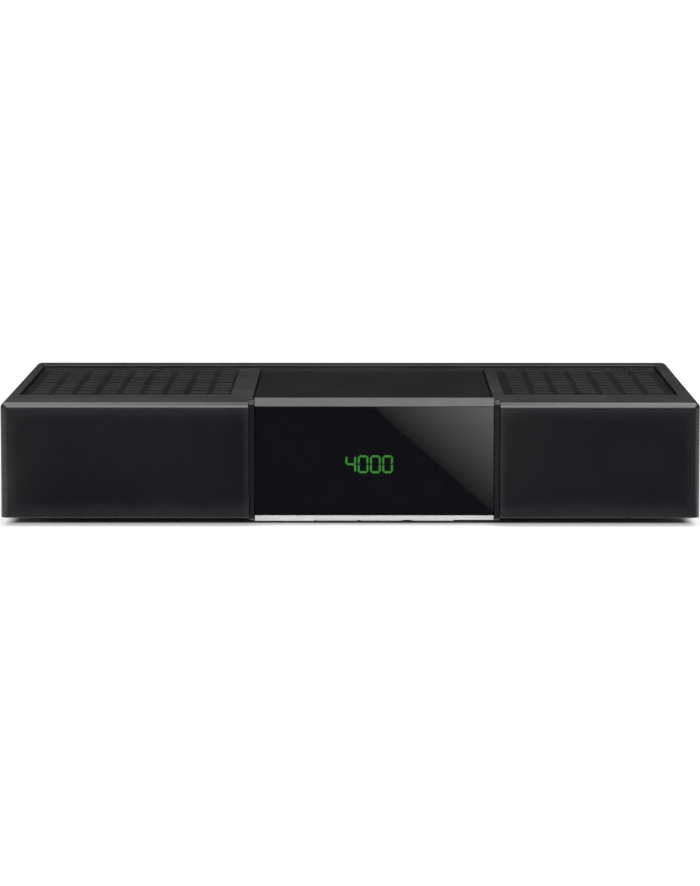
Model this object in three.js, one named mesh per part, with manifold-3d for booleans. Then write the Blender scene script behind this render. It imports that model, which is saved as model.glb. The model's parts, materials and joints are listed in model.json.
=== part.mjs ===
// Satellite TV receiver: a slim plastic case with a vented top, a gloss display window between two
// satin wings, three keys under the front edge, and sockets with a power rocker at the back.
// Millimetres. X runs to the right seen from the front, Y runs to the back and Z runs up.
// The origin is on the ground, under the middle of the whole object.

import * as THREE from "three";
import { mergeVertices } from "three/addons/utils/BufferGeometryUtils.js";
import Module from "manifold-3d";

const wasm = await Module();
wasm.setup();

// Whole case
const caseWidth = 220;
const caseDepth = 140;
const wingHeight = 36.4;
const groundClearance = 3.1;
const aerialReach = 9;

// Clearances, and how far a cutting shape runs past the surface that it cuts
const fitGap = 0.3;
const seamGap = 0.15;
const overrun = 1;

// Steps round curves
const roundSides = 24;
const smallSides = 12;
const cornerSteps = 4;

// Shell of the top cover
const shellWall = 2;
const topEdgeRadius = 1.8;
const cornerRadius = 2.2;
const postSize = 7;
const postSideInset = 8;
const frontPostDepth = 11.5;

// Openings in the top: an outer border, a tongue on each side of the centre, and a strip at the back
const frontBorder = 26;
const leftBorder = 3.8;
const rightBorder = 5;
const backLip = 11;
const leftTongue = 7.3;
const rightTongue = 3.9;
const crossStripDepth = 12;
const centreMargin = 0.8;

// Vent panel under those openings
const recess = 0.9;
const flangeThickness = 1.5;
const flangeLap = 1.2;
const slotWidth = 5.2;
const slotPitch = 7.3;
const slotLength = 3;
const slotRowPitch = 9.3;
const firstSlotMargin = 2;
const slotRows = 11;
const leftSlotColumns = 9;
const rightSlotColumns = 7;
const leftSlotMargin = 3.2;
const rightSlotMargin = 3.4;

// Display frame between the wings
const windowMiddleX = 7.6;
const frameWidth = 78.8;
const cheekWidth = 1.6;
const cheekSetback = 0.8;
const frameDepth = 13;
const shoulderRise = 0.6;
const shoulderBevel = 1.1;
const shoulderDepth = 5.5;
const frameDrop = 0.86;
const railThickness = 2;
const lowerRailThickness = 1.5;
const railDrop = 0.9;
const ledgeWidth = 1.7;
const ledgeThickness = 1.2;
const earWidth = 5.2;
const earThickness = 2;
const earMargin = 5;
const lugWidth = 7;
const lugHeight = 6;
const lugLength = 4;
const lugScrewInset = 3;

// Display window
const windowSetback = 2;
const windowThickness = 2;
const windowLap = 0.45;

// Trims over and under the window
const trimSetback = 1;
const trimLip = 0.7;
const topTrimDrop = 1.4;
const topTrimNose = 0.3;
const topTrimRise = 1.2;
const topTrimBevelDepth = 2.5;
const topTrimDepth = 5.5;
const bottomTrimHeight = 1.45;
const bottomTrimDrop = 0.85;
const bottomTrimPlate = 0.75;
const bottomTrimBevelDepth = 0.9;
const bottomTrimDepth = 11.5;
const bottomPadDrop = 0.31;

// Keys under the front edge
const keyLength = 13.4;
const keyDepth = 5;
const keyMiddleDepth = 7.9;
const keyProud = 0.75;
const keyTravel = 0.5;
const standbyKeyOffset = 11.7;
const standbyKeyGap = 2.7;
const channelKeyGap = 0.6;
const keyFlange = 0.8;
const keyFlangeThickness = 0.8;
const stemSize = 2.4;
const stemLength = 2.2;

// Key switches on the display board, opening downwards
const switchWidth = 6;
const switchDepth = 3.3;
const switchHeight = 3.5;
const plungerRadius = 0.8;
const plungerDrop = 1.2;
const plungerInside = 0.7;
const stemGap = 0.3;

// Display board and what it carries
const displayBoardDepth = 9.8;
const boardThickness = 1.6;
const displayBoardMargin = 3;
const displayBoardLap = 0.4;
const displayBoardHeight = 24.8;
const displayScrewDrop = 5;
const displayOffset = 1.6;
const displayRise = 16.2;
const displayWidth = 24;
const displayHeight = 11.6;
const receiverWidth = 6;
const receiverHeight = 7;
const receiverSideInset = 9.4;
const receiverDome = 1.6;
const receiverBody = 3;

// Bottom tray
const trayFloor = 2.4;
const trayRail = 1.5;
const trayRailHeight = 6.5;
const trayRailStart = 20;
const trayRailBackMargin = 12;
const pocketRadius = 4.6;
const pocketRise = 2.6;
const pocketDepth = 3;
const stopRibLength = 30;
const stopRibMiddleX = 50;
const stopRibThickness = 1.5;
const stopRibHeight = 3.5;
const floorSlotWidth = 2.5;
const floorSlotLength = 24;
const floorSlotPitch = 6;
const floorSlotCount = 8;
const floorSlotMiddleX = 47;
const floorSlotStart = 62;

// Feet
const footRadius = 6;
const footStemRadius = 1.5;
const footStemRise = 0.8;
const footSideInset = 18;
const frontFootDepth = 32;
const rearFootInset = 16;

// Screws: a large one for the case, a small one for the boards
const screwRadius = 1;
const screwHeadRadius = 2.8;
const screwHeadHeight = 1.6;
const screwLength = 10;
const rearScrewLength = 6.8;
const smallScrewRadius = 0.8;
const smallHeadRadius = 2;
const smallHeadHeight = 1.2;
const smallScrewLength = 4.6;
const screwSocketDepth = 0.7;
const screwSocketRadius = 0.9;
const screwSocketSides = 6;

// Rear panel
const rearPanelThickness = 1.6;
const rearScrewRise = 18.5;

// Main board on the tray's standoffs
const standoffHeight = 4.6;
const standoffRadius = 3;
const mainBoardLeftMargin = 24;
const mainBoardRightMargin = 28;
const mainBoardLength = 100;
const mainBoardBackMargin = 2.6;
const boardScrewInset = 6;

// Places across the object as shares of half the case's width, minus to the left
const acrossShares = {
  aerial: -0.636,
  scart: -0.186,
  hdmi: 0.177,
  usb: 0.37,
  audio: 0.527,
  jack: 0.655,
  leftBoardScrew: -0.455,
  rightBoardScrew: 0.455,
  processor: -0.014,
  memory: 0.236,
  inductor: 0.436,
  largeCapacitor: 0.545,
  mediumCapacitor: 0.582,
  smallCapacitor: -0.345,
};

// Places behind the main board's front edge as shares of the board's length
const alongShares = {
  leftBoardScrew: 0.786,
  rightBoardScrew: 0.746,
  processor: 0.326,
  memory: 0.326,
  inductor: 0.586,
  largeCapacitor: 0.646,
  mediumCapacitor: 0.506,
  smallCapacitor: 0.666,
};

// Tuner can and aerial connector
const aerialRise = 8;
const tunerWidth = 28;
const tunerDepth = 40;
const tunerHeight = 14;
const barrelRadius = 4.75;
const barrelBore = 3.9;
const barrelBoreDepth = 9.5;
const insulatorInset = 0.6;
const insulatorHole = 0.9;
const insulatorHoleDepth = 7;
const contactRadius = 0.5;
const contactInset = 2;
const nutRadius = 7.3;
const nutThickness = 2;
const nutSides = 6;

// SCART socket
const scartWidth = 47;
const scartHeight = 15;
const scartDepth = 16;
const scartProud = 0.6;
const skirtWidth = 43.6;
const skirtHeight = 11;
const skirtSlant = 5;
const skirtGroove = 1.5;
const skirtGrooveDepth = 9;
const scartSlotCount = 10;
const scartSlotWidth = 0.9;
const scartSlotLength = 2.6;
const scartSlotPitch = 3.81;
const scartSlotDepth = 7;
const scartRowOffset = 2.6;

// HDMI socket
const hdmiWidth = 15;
const hdmiHeight = 5.7;
const hdmiShell = 0.5;
const hdmiTaper = 1.4;
const hdmiDepth = 12;
const hdmiBore = 10;
const hdmiTongueWidth = 11.2;
const hdmiTongueThickness = 1.2;
const hdmiTongueInset = 1.5;
const hdmiTongueRise = 2.1;

// USB socket
const usbWidth = 13.6;
const usbHeight = 6.2;
const usbShell = 0.5;
const usbDepth = 14;
const usbBore = 12;
const usbTongueWidth = 11.1;
const usbTongueThickness = 1.8;
const usbTongueInset = 2;
const usbTongueRise = 3;

// How far the sockets' shells stand proud of the rear panel
const socketProud = 0.5;

// Digital audio socket
const audioRise = 5.6;
const audioBlockWidth = 10;
const audioBlockHeight = 11.2;
const audioBlockDepth = 11;
const audioRadius = 4.15;
const audioBore = 3.5;
const audioBoreDepth = 7.4;
const audioReach = 8;
const audioCoreBore = 1.6;
const audioCoreInset = 0.4;

// Power jack
const jackWidth = 9;
const jackHeight = 11;
const jackDepth = 13.6;
const jackRise = 6.4;
const jackBore = 3.2;
const jackBoreDepth = 9;
const jackPinRadius = 1;
const jackPinInset = 1;

// Power switch and its rocker
const switchSideInset = 20;
const switchBodyWidth = 12;
const switchBodyHeight = 19.2;
const switchBodyDepth = 14;
const switchPocketWidth = 10;
const switchPocketHeight = 18;
const switchPocketDepth = 8.4;
const bezelWidth = 14;
const bezelHeight = 21.2;
const bezelThickness = 1.2;
const rockerTilt = 10;
const rockerHalf = 7.6;
const rockerDish = 1.7;
const rockerEnd = 3.5;
const rockerRoot = 2.6;
const rockerRootHalf = 2.4;
const rockerSideStep = 0.3;
const pivotInside = 2.5;
const pivotPinRadius = 1;
const pivotPinLength = 0.7;
const pivotPinFit = 0.1;

// Twin wire from the switch to the main board
const wireRadius = 0.7;
const wireSpread = 1.2;
const wireExitDrop = 3;
const wireBend = 4;
const wireSides = 8;
const wireSteps = 22;
const wireEndMargin = 6;
const wireEndInset = 19.4;

// Chips, heat sink and small parts on the main board
const processorSize = 17;
const processorHeight = 1.6;
const sinkWidth = 27;
const sinkLength = 27;
const sinkBase = 2;
const finHeight = 6;
const finThickness = 1;
const finPitch = 3.25;
const finCount = 9;
const memoryWidth = 9;
const memoryLength = 13;
const memoryHeight = 1.2;
const inductorSize = 7;
const inductorHeight = 4;
const inductorCorner = 1.6;
const largeCapacitorRadius = 4;
const largeCapacitorHeight = 12;
const mediumCapacitorRadius = 3.2;
const mediumCapacitorHeight = 10;
const smallCapacitorRadius = 2.5;
const smallCapacitorHeight = 9;

// Ribbon cable and its header
const ribbonWidth = 10;
const ribbonThickness = 0.9;
const headerMargin = 1;
const headerHeight = 4;
const headerLength = 4;
const headerInset = 9.6;
const ribbonStartRise = 6.8;
const ribbonArch = 6;
const ribbonFall = 4.8;
const ribbonFirstShare = 0.25;
const ribbonArchShare = 0.65;
const ribbonSteps = 22;

// Levels and limits that follow from the sizes above
const frontY = -(caseDepth + aerialReach) / 2;
const rearY = frontY + caseDepth;
const halfWidth = caseWidth / 2;
const topZ = groundClearance + wingHeight;
const across = (name) => acrossShares[name] * halfWidth;
const aerialMiddleX = across("aerial");
const scartMiddleX = across("scart");
const hdmiMiddleX = across("hdmi");
const usbMiddleX = across("usb");
const audioMiddleX = across("audio");
const jackMiddleX = across("jack");
const wallInnerX = halfWidth - shellWall;
const mainBoardLeft = mainBoardLeftMargin - halfWidth;
const mainBoardRight = halfWidth - mainBoardRightMargin;
const postMiddleX = halfWidth - postSideInset;
const footMiddleX = halfWidth - footSideInset;
const rearFootDepth = caseDepth - rearFootInset;
const switchMiddleX = halfWidth - switchSideInset;
const shellUnderside = topZ - shellWall;
const recessLevel = topZ - recess;
const frameLeft = windowMiddleX - frameWidth / 2;
const frameRight = windowMiddleX + frameWidth / 2;
const openingLeft = frameLeft + cheekWidth;
const openingRight = frameRight - cheekWidth;
const centreLeft = openingLeft - centreMargin;
const centreRight = openingRight;
const displayMiddleX = windowMiddleX - displayOffset;
const ribbonX = displayMiddleX;
const receiverMiddleX = openingRight - receiverSideInset;
const leftField = { x0: leftBorder - halfWidth, x1: centreLeft - leftTongue };
const rightField = { x0: centreRight + rightTongue, x1: halfWidth - rightBorder };
const fieldEnd = caseDepth - backLip;
const tongueEnd = fieldEnd - crossStripDepth;
const firstSlotRear = frontBorder + firstSlotMargin + slotLength;
const flangeTop = shellUnderside - fitGap;
const flangeBottom = flangeTop - flangeThickness;
const trayTop = groundClearance + trayFloor;
const pocketTop = trayTop + pocketRise;
const rearPanelFront = rearY - rearPanelThickness;
const rearPostMiddle = caseDepth - rearPanelThickness - fitGap - postSize / 2;
const mainBoardBottom = trayTop + standoffHeight + fitGap;
const mainBoardTop = mainBoardBottom + boardThickness;
const mainBoardBack = caseDepth - mainBoardBackMargin;
const mainBoardFront = mainBoardBack - mainBoardLength;
const along = (name) => alongShares[name] * mainBoardLength;
const mainHeaderDepth = mainBoardFront + headerInset;
const seatZ = mainBoardTop + fitGap;
const rearScrewHeight = trayTop + rearScrewRise;
const switchMiddleZ = (trayTop + shellUnderside) / 2;
const frameBottom = groundClearance - frameDrop;
const topTrimLow = topZ - topTrimDrop;
const bottomTrimLow = groundClearance - bottomTrimDrop;
const bottomTrimTop = bottomTrimLow + bottomTrimHeight;
const windowBack = windowSetback + windowThickness;
const windowBottom = bottomTrimTop - trimLip + fitGap;
const windowTop = topTrimLow + windowLap;
const railTop = recessLevel;
const railBottom = railTop - railThickness;
const lowerRailBottom = windowBottom;
const lowerRailTop = lowerRailBottom + lowerRailThickness;
const keyBottom = bottomTrimLow - keyProud;
const keyFlangeLow = lowerRailTop + fitGap;
const keyFlangeHigh = keyFlangeLow + keyFlangeThickness;
const stemTop = keyFlangeHigh + stemLength;
const switchBottom = stemTop + stemGap + plungerDrop;
const plungerTop = switchBottom + plungerInside;
const displayBoardBottom = switchBottom - displayBoardLap;
const displayBoardTop = displayBoardBottom + displayBoardHeight;
const displayScrewHeight = displayBoardTop - displayScrewDrop;
const displayMiddleZ = groundClearance + displayRise;
const ribbonStartZ = displayBoardBottom + ribbonStartRise;

// Y of a place given as its distance behind the wings' front face
const behind = (depth) => frontY + depth;

// Finishes
const finish = (color, roughness, metalness) =>
  new THREE.MeshStandardMaterial({ color, roughness, metalness });
const satinBlack = () => finish(0x1d1d1f, 0.42, 0);
const darkPanel = () => finish(0x232325, 0.6, 0);
const glossBlack = () => finish(0x0c0c10, 0.08, 0);
const satinSilver = () => finish(0x8d8b8b, 0.35, 0.9);
const brightSilver = () => finish(0xd6d6d6, 0.25, 0.9);
const steel = () => finish(0x9b9ea2, 0.4, 0.9);
const nickel = () => finish(0xc9c7c0, 0.28, 0.95);
const rubber = () => finish(0x18181a, 0.9, 0);
const boardGreen = () => finish(0x15402a, 0.55, 0);
const chipBlack = () => finish(0x202124, 0.55, 0);
const blackPlastic = () => finish(0x151517, 0.5, 0);
const whitePlastic = () => finish(0xe4e2da, 0.5, 0);
const orangePlastic = () => finish(0xe07a1c, 0.45, 0);
const wireRed = () => finish(0x8a1c1c, 0.5, 0);

// A closed three.js geometry as a solid that can be cut and joined
function solid(geometry) {
  const plain = geometry.clone();
  plain.deleteAttribute("normal");
  plain.deleteAttribute("uv");
  const merged = mergeVertices(plain);
  const mesh = new wasm.Mesh({
    numProp: 3,
    vertProperties: new Float32Array(merged.attributes.position.array),
    triVerts: new Uint32Array(merged.index.array),
  });
  return new wasm.Manifold(mesh);
}

const join = (...solids) => solids.reduce((sum, next) => sum.add(next));
const cut = (body, ...tools) => tools.reduce((rest, tool) => rest.subtract(tool), body);

// A block between two limits along each axis
function block(x0, x1, y0, y1, z0, z1) {
  const geometry = new THREE.BoxGeometry(x1 - x0, y1 - y0, z1 - z0);
  geometry.translate((x0 + x1) / 2, (y0 + y1) / 2, (z0 + z1) / 2);
  return solid(geometry);
}

// The same, with the Y limits given as distances behind the front face
const blockBehind = (x0, x1, d0, d1, z0, z1) => block(x0, x1, behind(d0), behind(d1), z0, z1);

const outline = (points) => new THREE.Shape(points.map(([a, b]) => new THREE.Vector2(a, b)));

const extrude = (shape, length) =>
  new THREE.ExtrudeGeometry(shape, { depth: length, bevelEnabled: false });

// A prism along Z, from an outline of [x, y] points
function prismZ(shape, z0, z1) {
  const geometry = extrude(shape, z1 - z0);
  geometry.translate(0, 0, z0);
  return solid(geometry);
}

// A prism along X, from an outline of [y, z] points
function prismX(shape, x0, x1) {
  const geometry = extrude(shape, x1 - x0);
  geometry.applyMatrix4(new THREE.Matrix4().set(0, 0, 1, x0, 1, 0, 0, 0, 0, 1, 0, 0, 0, 0, 0, 1));
  return solid(geometry);
}

// A prism along Y, from an outline of [x, z] points
function prismY(shape, y0, y1) {
  const geometry = extrude(shape, y1 - y0);
  geometry.applyMatrix4(new THREE.Matrix4().set(1, 0, 0, 0, 0, 0, -1, y1, 0, 1, 0, 0, 0, 0, 0, 1));
  return solid(geometry);
}

// A round bar along Z and along Y
function barZ(x, y, radius, z0, z1, sides = roundSides) {
  const geometry = new THREE.CylinderGeometry(radius, radius, z1 - z0, sides);
  geometry.rotateX(Math.PI / 2);
  geometry.translate(x, y, (z0 + z1) / 2);
  return solid(geometry);
}

function barY(x, z, radius, y0, y1, sides = roundSides) {
  const geometry = new THREE.CylinderGeometry(radius, radius, y1 - y0, sides);
  geometry.translate(x, (y0 + y1) / 2, z);
  return solid(geometry);
}

function barX(y, z, radius, x0, x1, sides = roundSides) {
  const geometry = new THREE.CylinderGeometry(radius, radius, x1 - x0, sides);
  geometry.rotateZ(Math.PI / 2);
  geometry.translate((x0 + x1) / 2, y, z);
  return solid(geometry);
}

// Corner points of a rectangle with rounded corners, the same number for every radius
function roundedRectangle(x0, x1, y0, y1, radius) {
  const corners = [
    [x1 - radius, y1 - radius, 0],
    [x0 + radius, y1 - radius, 1],
    [x0 + radius, y0 + radius, 2],
    [x1 - radius, y0 + radius, 3],
  ];
  return corners.flatMap(([x, y, quarter]) =>
    Array.from({ length: cornerSteps + 1 }, (_, step) => {
      const angle = ((quarter + step / cornerSteps) * Math.PI) / 2;
      return [x + radius * Math.cos(angle), y + radius * Math.sin(angle)];
    }),
  );
}

// A solid through a stack of outlines with equal counts of points, closed by a fan at each end
function loft(levels) {
  const count = levels[0].points.length;
  const positions = levels.flatMap(({ points, z }) => points.flatMap(([x, y]) => [x, y, z]));
  const middle = ({ points, z }) => [
    points.reduce((sum, [x]) => sum + x, 0) / count,
    points.reduce((sum, [, y]) => sum + y, 0) / count,
    z,
  ];
  positions.push(...middle(levels[0]), ...middle(levels[levels.length - 1]));
  const bottomMiddle = levels.length * count;
  const index = [];
  for (let corner = 0; corner < count; corner++) {
    const next = (corner + 1) % count;
    for (let level = 0; level + 1 < levels.length; level++) {
      const low = level * count;
      const high = low + count;
      index.push(low + corner, low + next, high + next);
      index.push(low + corner, high + next, high + corner);
    }
    const top = (levels.length - 1) * count;
    index.push(bottomMiddle, next, corner);
    index.push(bottomMiddle + 1, top + corner, top + next);
  }
  const geometry = new THREE.BufferGeometry();
  geometry.setAttribute("position", new THREE.Float32BufferAttribute(positions, 3));
  geometry.setAttribute("normal", new THREE.Float32BufferAttribute(positions.map(() => 0), 3));
  geometry.setAttribute("uv", new THREE.Float32BufferAttribute(positions.map(() => 0), 2));
  geometry.setIndex(index);
  return solid(geometry);
}

// A screw along Z or Y, its head's outer face at "face" and its point towards "way" (+1 or -1)
function screw(bar, x, other, face, way, radius, headRadius, headHeight, length) {
  const span = (from, to) => (way > 0 ? [face + from, face + to] : [face - to, face - from]);
  const head = bar(x, other, headRadius, ...span(0, headHeight), smallSides);
  const shank = bar(x, other, radius, ...span(headHeight / 2, headHeight + length), smallSides);
  const socket = bar(
    x,
    other,
    screwSocketRadius,
    ...span(-overrun, screwSocketDepth),
    screwSocketSides,
  );
  return cut(join(head, shank), socket);
}

const receiver = new THREE.Group();

function add(name, body, material) {
  const { numProp, vertProperties, triVerts } = body.getMesh();
  const positions = new Float32Array((vertProperties.length / numProp) * 3);
  for (let vertex = 0; vertex < positions.length / 3; vertex++) {
    positions.set(vertProperties.subarray(vertex * numProp, vertex * numProp + 3), vertex * 3);
  }
  const geometry = new THREE.BufferGeometry();
  geometry.setAttribute("position", new THREE.BufferAttribute(positions, 3));
  geometry.setIndex(new THREE.BufferAttribute(new Uint32Array(triVerts), 1));
  geometry.computeVertexNormals();
  const mesh = new THREE.Mesh(geometry, material);
  mesh.name = name;
  receiver.add(mesh);
}

// Places that several pieces share
const postPlaces = [
  [-postMiddleX, frontPostDepth],
  [postMiddleX, frontPostDepth],
  [-postMiddleX, rearPostMiddle],
  [postMiddleX, rearPostMiddle],
];
const footPlaces = [
  [-footMiddleX, frontFootDepth],
  [footMiddleX, frontFootDepth],
  [-footMiddleX, rearFootDepth],
  [footMiddleX, rearFootDepth],
];
const boardScrewPlaces = [
  [mainBoardLeft + boardScrewInset, mainBoardFront + boardScrewInset],
  [mainBoardRight - boardScrewInset, mainBoardFront + boardScrewInset],
  [across("leftBoardScrew"), mainBoardFront + along("leftBoardScrew")],
  [across("rightBoardScrew"), mainBoardFront + along("rightBoardScrew")],
];

// Top cover: wings, top borders and sides in one moulding, open below, behind and at the centre
function topCover() {
  const level = (inset, z) => ({
    points: roundedRectangle(
      -halfWidth + inset,
      halfWidth - inset,
      frontY + inset,
      rearY - inset,
      cornerRadius - inset,
    ),
    z,
  });
  const edge = Array.from({ length: cornerSteps + 1 }, (_, step) => {
    const angle = (step / cornerSteps) * (Math.PI / 2);
    return level(
      topEdgeRadius * (1 - Math.cos(angle)),
      topZ - topEdgeRadius * (1 - Math.sin(angle)),
    );
  });
  const outer = loft([level(0, groundClearance), ...edge]);
  const cavity = block(
    -wallInnerX,
    wallInnerX,
    behind(shellWall),
    rearY + overrun,
    groundClearance - overrun,
    shellUnderside,
  );
  const notch = blockBehind(
    frameLeft - seamGap,
    frameRight + seamGap,
    -overrun,
    frameDepth + fitGap,
    groundClearance - overrun,
    topZ + overrun,
  );
  const through = [shellUnderside - overrun, topZ + overrun];
  const openings = [
    blockBehind(leftField.x0, leftField.x1, frontBorder, fieldEnd, ...through),
    blockBehind(rightField.x0, rightField.x1, frontBorder, fieldEnd, ...through),
    blockBehind(centreLeft, centreRight, frameDepth, fieldEnd, ...through),
    blockBehind(leftField.x1 - overrun, rightField.x0 + overrun, tongueEnd, fieldEnd, ...through),
  ];
  const posts = postPlaces.map(([x, depth]) => {
    const post = blockBehind(
      x - postSize / 2,
      x + postSize / 2,
      depth - postSize / 2,
      depth + postSize / 2,
      pocketTop + fitGap,
      shellUnderside + shellWall / 2,
    );
    const bore = barZ(
      x,
      behind(depth),
      screwRadius + fitGap,
      pocketTop,
      pocketTop + screwLength,
      smallSides,
    );
    return cut(post, bore);
  });
  const rearBores = [-postMiddleX, postMiddleX].map((x) =>
    barY(
      x,
      rearScrewHeight,
      screwRadius + fitGap,
      behind(rearPostMiddle - postSize / 2 + overrun),
      rearPanelFront,
      smallSides,
    ),
  );
  return cut(join(cut(outer, cavity, notch, ...openings), ...posts), ...rearBores);
}

// Vent panel: a flange under the cover with raised fields that fill its openings, slotted left and right
function ventPanel() {
  const pad = (x0, x1, start) =>
    blockBehind(
      x0 + fitGap,
      x1 - fitGap,
      start + fitGap,
      fieldEnd - fitGap,
      flangeBottom,
      recessLevel,
    );
  const pads = [
    pad(leftField.x0, leftField.x1, frontBorder),
    pad(rightField.x0, rightField.x1, frontBorder),
    pad(centreLeft, centreRight, frameDepth),
    pad(leftField.x0, rightField.x1, tongueEnd),
  ];
  const flange = blockBehind(
    leftField.x0 - flangeLap,
    rightField.x1 + flangeLap,
    frontBorder - flangeLap,
    fieldEnd + flangeLap,
    flangeBottom,
    flangeTop,
  );
  const slots = [];
  const slotFields = [
    [leftField.x0 + leftSlotMargin, leftSlotColumns],
    [rightField.x0 + rightSlotMargin, rightSlotColumns],
  ];
  for (const [start, columns] of slotFields) {
    for (let column = 0; column < columns; column++) {
      for (let row = 0; row < slotRows; row++) {
        const x = start + column * slotPitch;
        const rear = firstSlotRear + row * slotRowPitch;
        slots.push(
          blockBehind(
            x,
            x + slotWidth,
            rear - slotLength,
            rear,
            flangeBottom - overrun,
            recessLevel + overrun,
          ),
        );
      }
    }
  }
  return cut(join(flange, ...pads), join(...slots));
}

// Display frame: a ring behind the window with a shoulder each side, ears behind the wings and rails
const keys = (() => {
  const standby = windowMiddleX + standbyKeyOffset;
  const up = standby - standbyKeyGap - keyLength;
  const down = up - channelKeyGap - keyLength;
  return [
    { name: "channel_down", x0: down },
    { name: "channel_up", x0: up },
    { name: "standby", x0: standby },
  ].map((key) => ({ ...key, x1: key.x0 + keyLength, middle: key.x0 + keyLength / 2 }));
})();
const keyFront = keyMiddleDepth - keyDepth / 2;
const keyBack = keyMiddleDepth + keyDepth / 2;
const keyOpenings = (z0, z1) =>
  [
    [keys[0].x0, keys[1].x1],
    [keys[2].x0, keys[2].x1],
  ].map(([x0, x1]) =>
    blockBehind(x0 - fitGap, x1 + fitGap, keyFront - fitGap, keyBack + fitGap, z0, z1),
  );
const lugs = [
  {
    x0: openingLeft - cheekWidth / 2,
    x1: openingLeft + lugWidth,
    screw: openingLeft + lugWidth - lugScrewInset,
  },
  {
    x0: openingRight - lugWidth,
    x1: openingRight + cheekWidth / 2,
    screw: openingRight - lugWidth + lugScrewInset,
  },
];

function displayFrame() {
  const shoulderTop = topZ + shoulderRise;
  const profile = outline(
    [
      [cheekSetback, frameBottom + shoulderBevel / 2],
      [cheekSetback + shoulderBevel / 2, frameBottom],
      [frameDepth, frameBottom],
      [frameDepth, topZ],
      [shoulderDepth + shoulderRise, topZ],
      [shoulderDepth, shoulderTop],
      [cheekSetback + shoulderBevel, shoulderTop],
      [cheekSetback, shoulderTop - shoulderBevel],
    ].map(([depth, z]) => [behind(depth), z]),
  );
  const cheeks = [
    prismX(profile, frameLeft, openingLeft),
    prismX(profile, openingRight, frameRight),
  ];
  const ledgeFront = windowBack + fitGap;
  const into = cheekWidth / 2;
  const rail = (z0, z1) =>
    blockBehind(openingLeft - into, openingRight + into, ledgeFront, frameDepth, z0, z1);
  const ledge = (x0, x1) =>
    blockBehind(x0, x1, ledgeFront, ledgeFront + ledgeThickness, lowerRailBottom, railTop);
  const ears = [
    [frameLeft - earWidth, frameLeft + into],
    [frameRight - into, frameRight + earWidth],
  ].map(([x0, x1]) =>
    blockBehind(
      x0,
      x1,
      shellWall + fitGap,
      shellWall + fitGap + earThickness,
      trayTop + earMargin,
      shellUnderside - earMargin,
    ),
  );
  const lugBlocks = lugs.map(({ x0, x1, screw: x }) => {
    const lugBack = displayBoardDepth - fitGap;
    const body = blockBehind(
      x0,
      x1,
      ledgeFront + ledgeThickness / 2,
      lugBack,
      displayScrewHeight - lugHeight / 2,
      displayScrewHeight + lugHeight / 2,
    );
    const bore = barY(
      x,
      displayScrewHeight,
      smallScrewRadius + fitGap,
      behind(lugBack - lugLength + overrun),
      behind(lugBack + overrun),
      smallSides,
    );
    return cut(body, bore);
  });
  const ring = join(
    ...cheeks,
    rail(railBottom, railTop),
    rail(lowerRailBottom, lowerRailTop),
    ledge(openingLeft - into, openingLeft + ledgeWidth),
    ledge(openingRight - ledgeWidth, openingRight + into),
    ...ears,
    ...lugBlocks,
  );
  return cut(ring, ...keyOpenings(lowerRailBottom - overrun, lowerRailTop + overrun));
}

// Display window: a flat pane held between the lips of the two trims
function displayWindow() {
  return blockBehind(
    openingLeft + seamGap,
    openingRight - seamGap,
    windowSetback,
    windowBack,
    windowBottom,
    windowTop,
  );
}

// Top trim: a bevel that rises from a thin lip in front of the window
function topTrim() {
  const top = topZ + topTrimRise;
  const profile = [
    [trimSetback, topTrimLow],
    [trimSetback + trimLip, topTrimLow],
    [trimSetback + trimLip, topTrimLow + railDrop],
    [topTrimDepth, topTrimLow + railDrop],
    [topTrimDepth, top],
    [trimSetback + topTrimBevelDepth, top],
    [trimSetback, topTrimLow + topTrimNose],
  ].map(([depth, z]) => [behind(depth), z]);
  return prismX(outline(profile), openingLeft + seamGap, openingRight - seamGap);
}

// Bottom trim: a lip that leans back as it goes down, on a plate with openings for the keys
function bottomTrim() {
  const plateTop = bottomTrimLow + bottomTrimPlate;
  const profile = [
    [trimSetback, bottomTrimTop],
    [trimSetback + bottomTrimBevelDepth, bottomTrimLow],
    [bottomTrimDepth, bottomTrimLow],
    [bottomTrimDepth, plateTop],
    [trimSetback + bottomTrimBevelDepth, plateTop],
    [trimSetback + trimLip, bottomTrimTop],
  ].map(([depth, z]) => [behind(depth), z]);
  const strip = prismX(outline(profile), openingLeft + seamGap, openingRight - seamGap);
  const pad = blockBehind(
    openingLeft + seamGap,
    keys[0].x0 - fitGap,
    trimSetback + bottomTrimBevelDepth,
    keyBack + fitGap,
    bottomTrimLow - bottomPadDrop,
    plateTop,
  );
  return cut(join(strip, pad), ...keyOpenings(bottomTrimLow - overrun, plateTop + overrun));
}

// A key: the cap through the trim, a flange that keeps it in, and a stem up to its switch
function key({ x0, x1, middle }) {
  const cap = blockBehind(x0, x1, keyFront, keyBack, keyBottom, keyFlangeHigh);
  const flange = blockBehind(
    x0,
    x1,
    keyFront - keyFlange,
    keyBack + keyFlange,
    keyFlangeLow,
    keyFlangeHigh,
  );
  const stem = blockBehind(
    middle - stemSize / 2,
    middle + stemSize / 2,
    keyMiddleDepth - stemSize / 2,
    keyMiddleDepth + stemSize / 2,
    keyFlangeLow,
    stemTop,
  );
  return join(cap, flange, stem);
}

// Key switches on the front of the display board, each with a bore for its plunger
function keySwitch({ middle }) {
  const back = displayBoardDepth - fitGap;
  const body = blockBehind(
    middle - switchWidth / 2,
    middle + switchWidth / 2,
    back - switchDepth,
    back,
    switchBottom,
    switchBottom + switchHeight,
  );
  const bore = barZ(
    middle,
    behind(keyMiddleDepth),
    plungerRadius + fitGap,
    switchBottom - overrun,
    plungerTop + keyTravel + fitGap,
    smallSides,
  );
  return cut(body, bore);
}

function plunger({ middle }) {
  return barZ(
    middle,
    behind(keyMiddleDepth),
    plungerRadius,
    switchBottom - plungerDrop,
    plungerTop,
    smallSides,
  );
}

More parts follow.
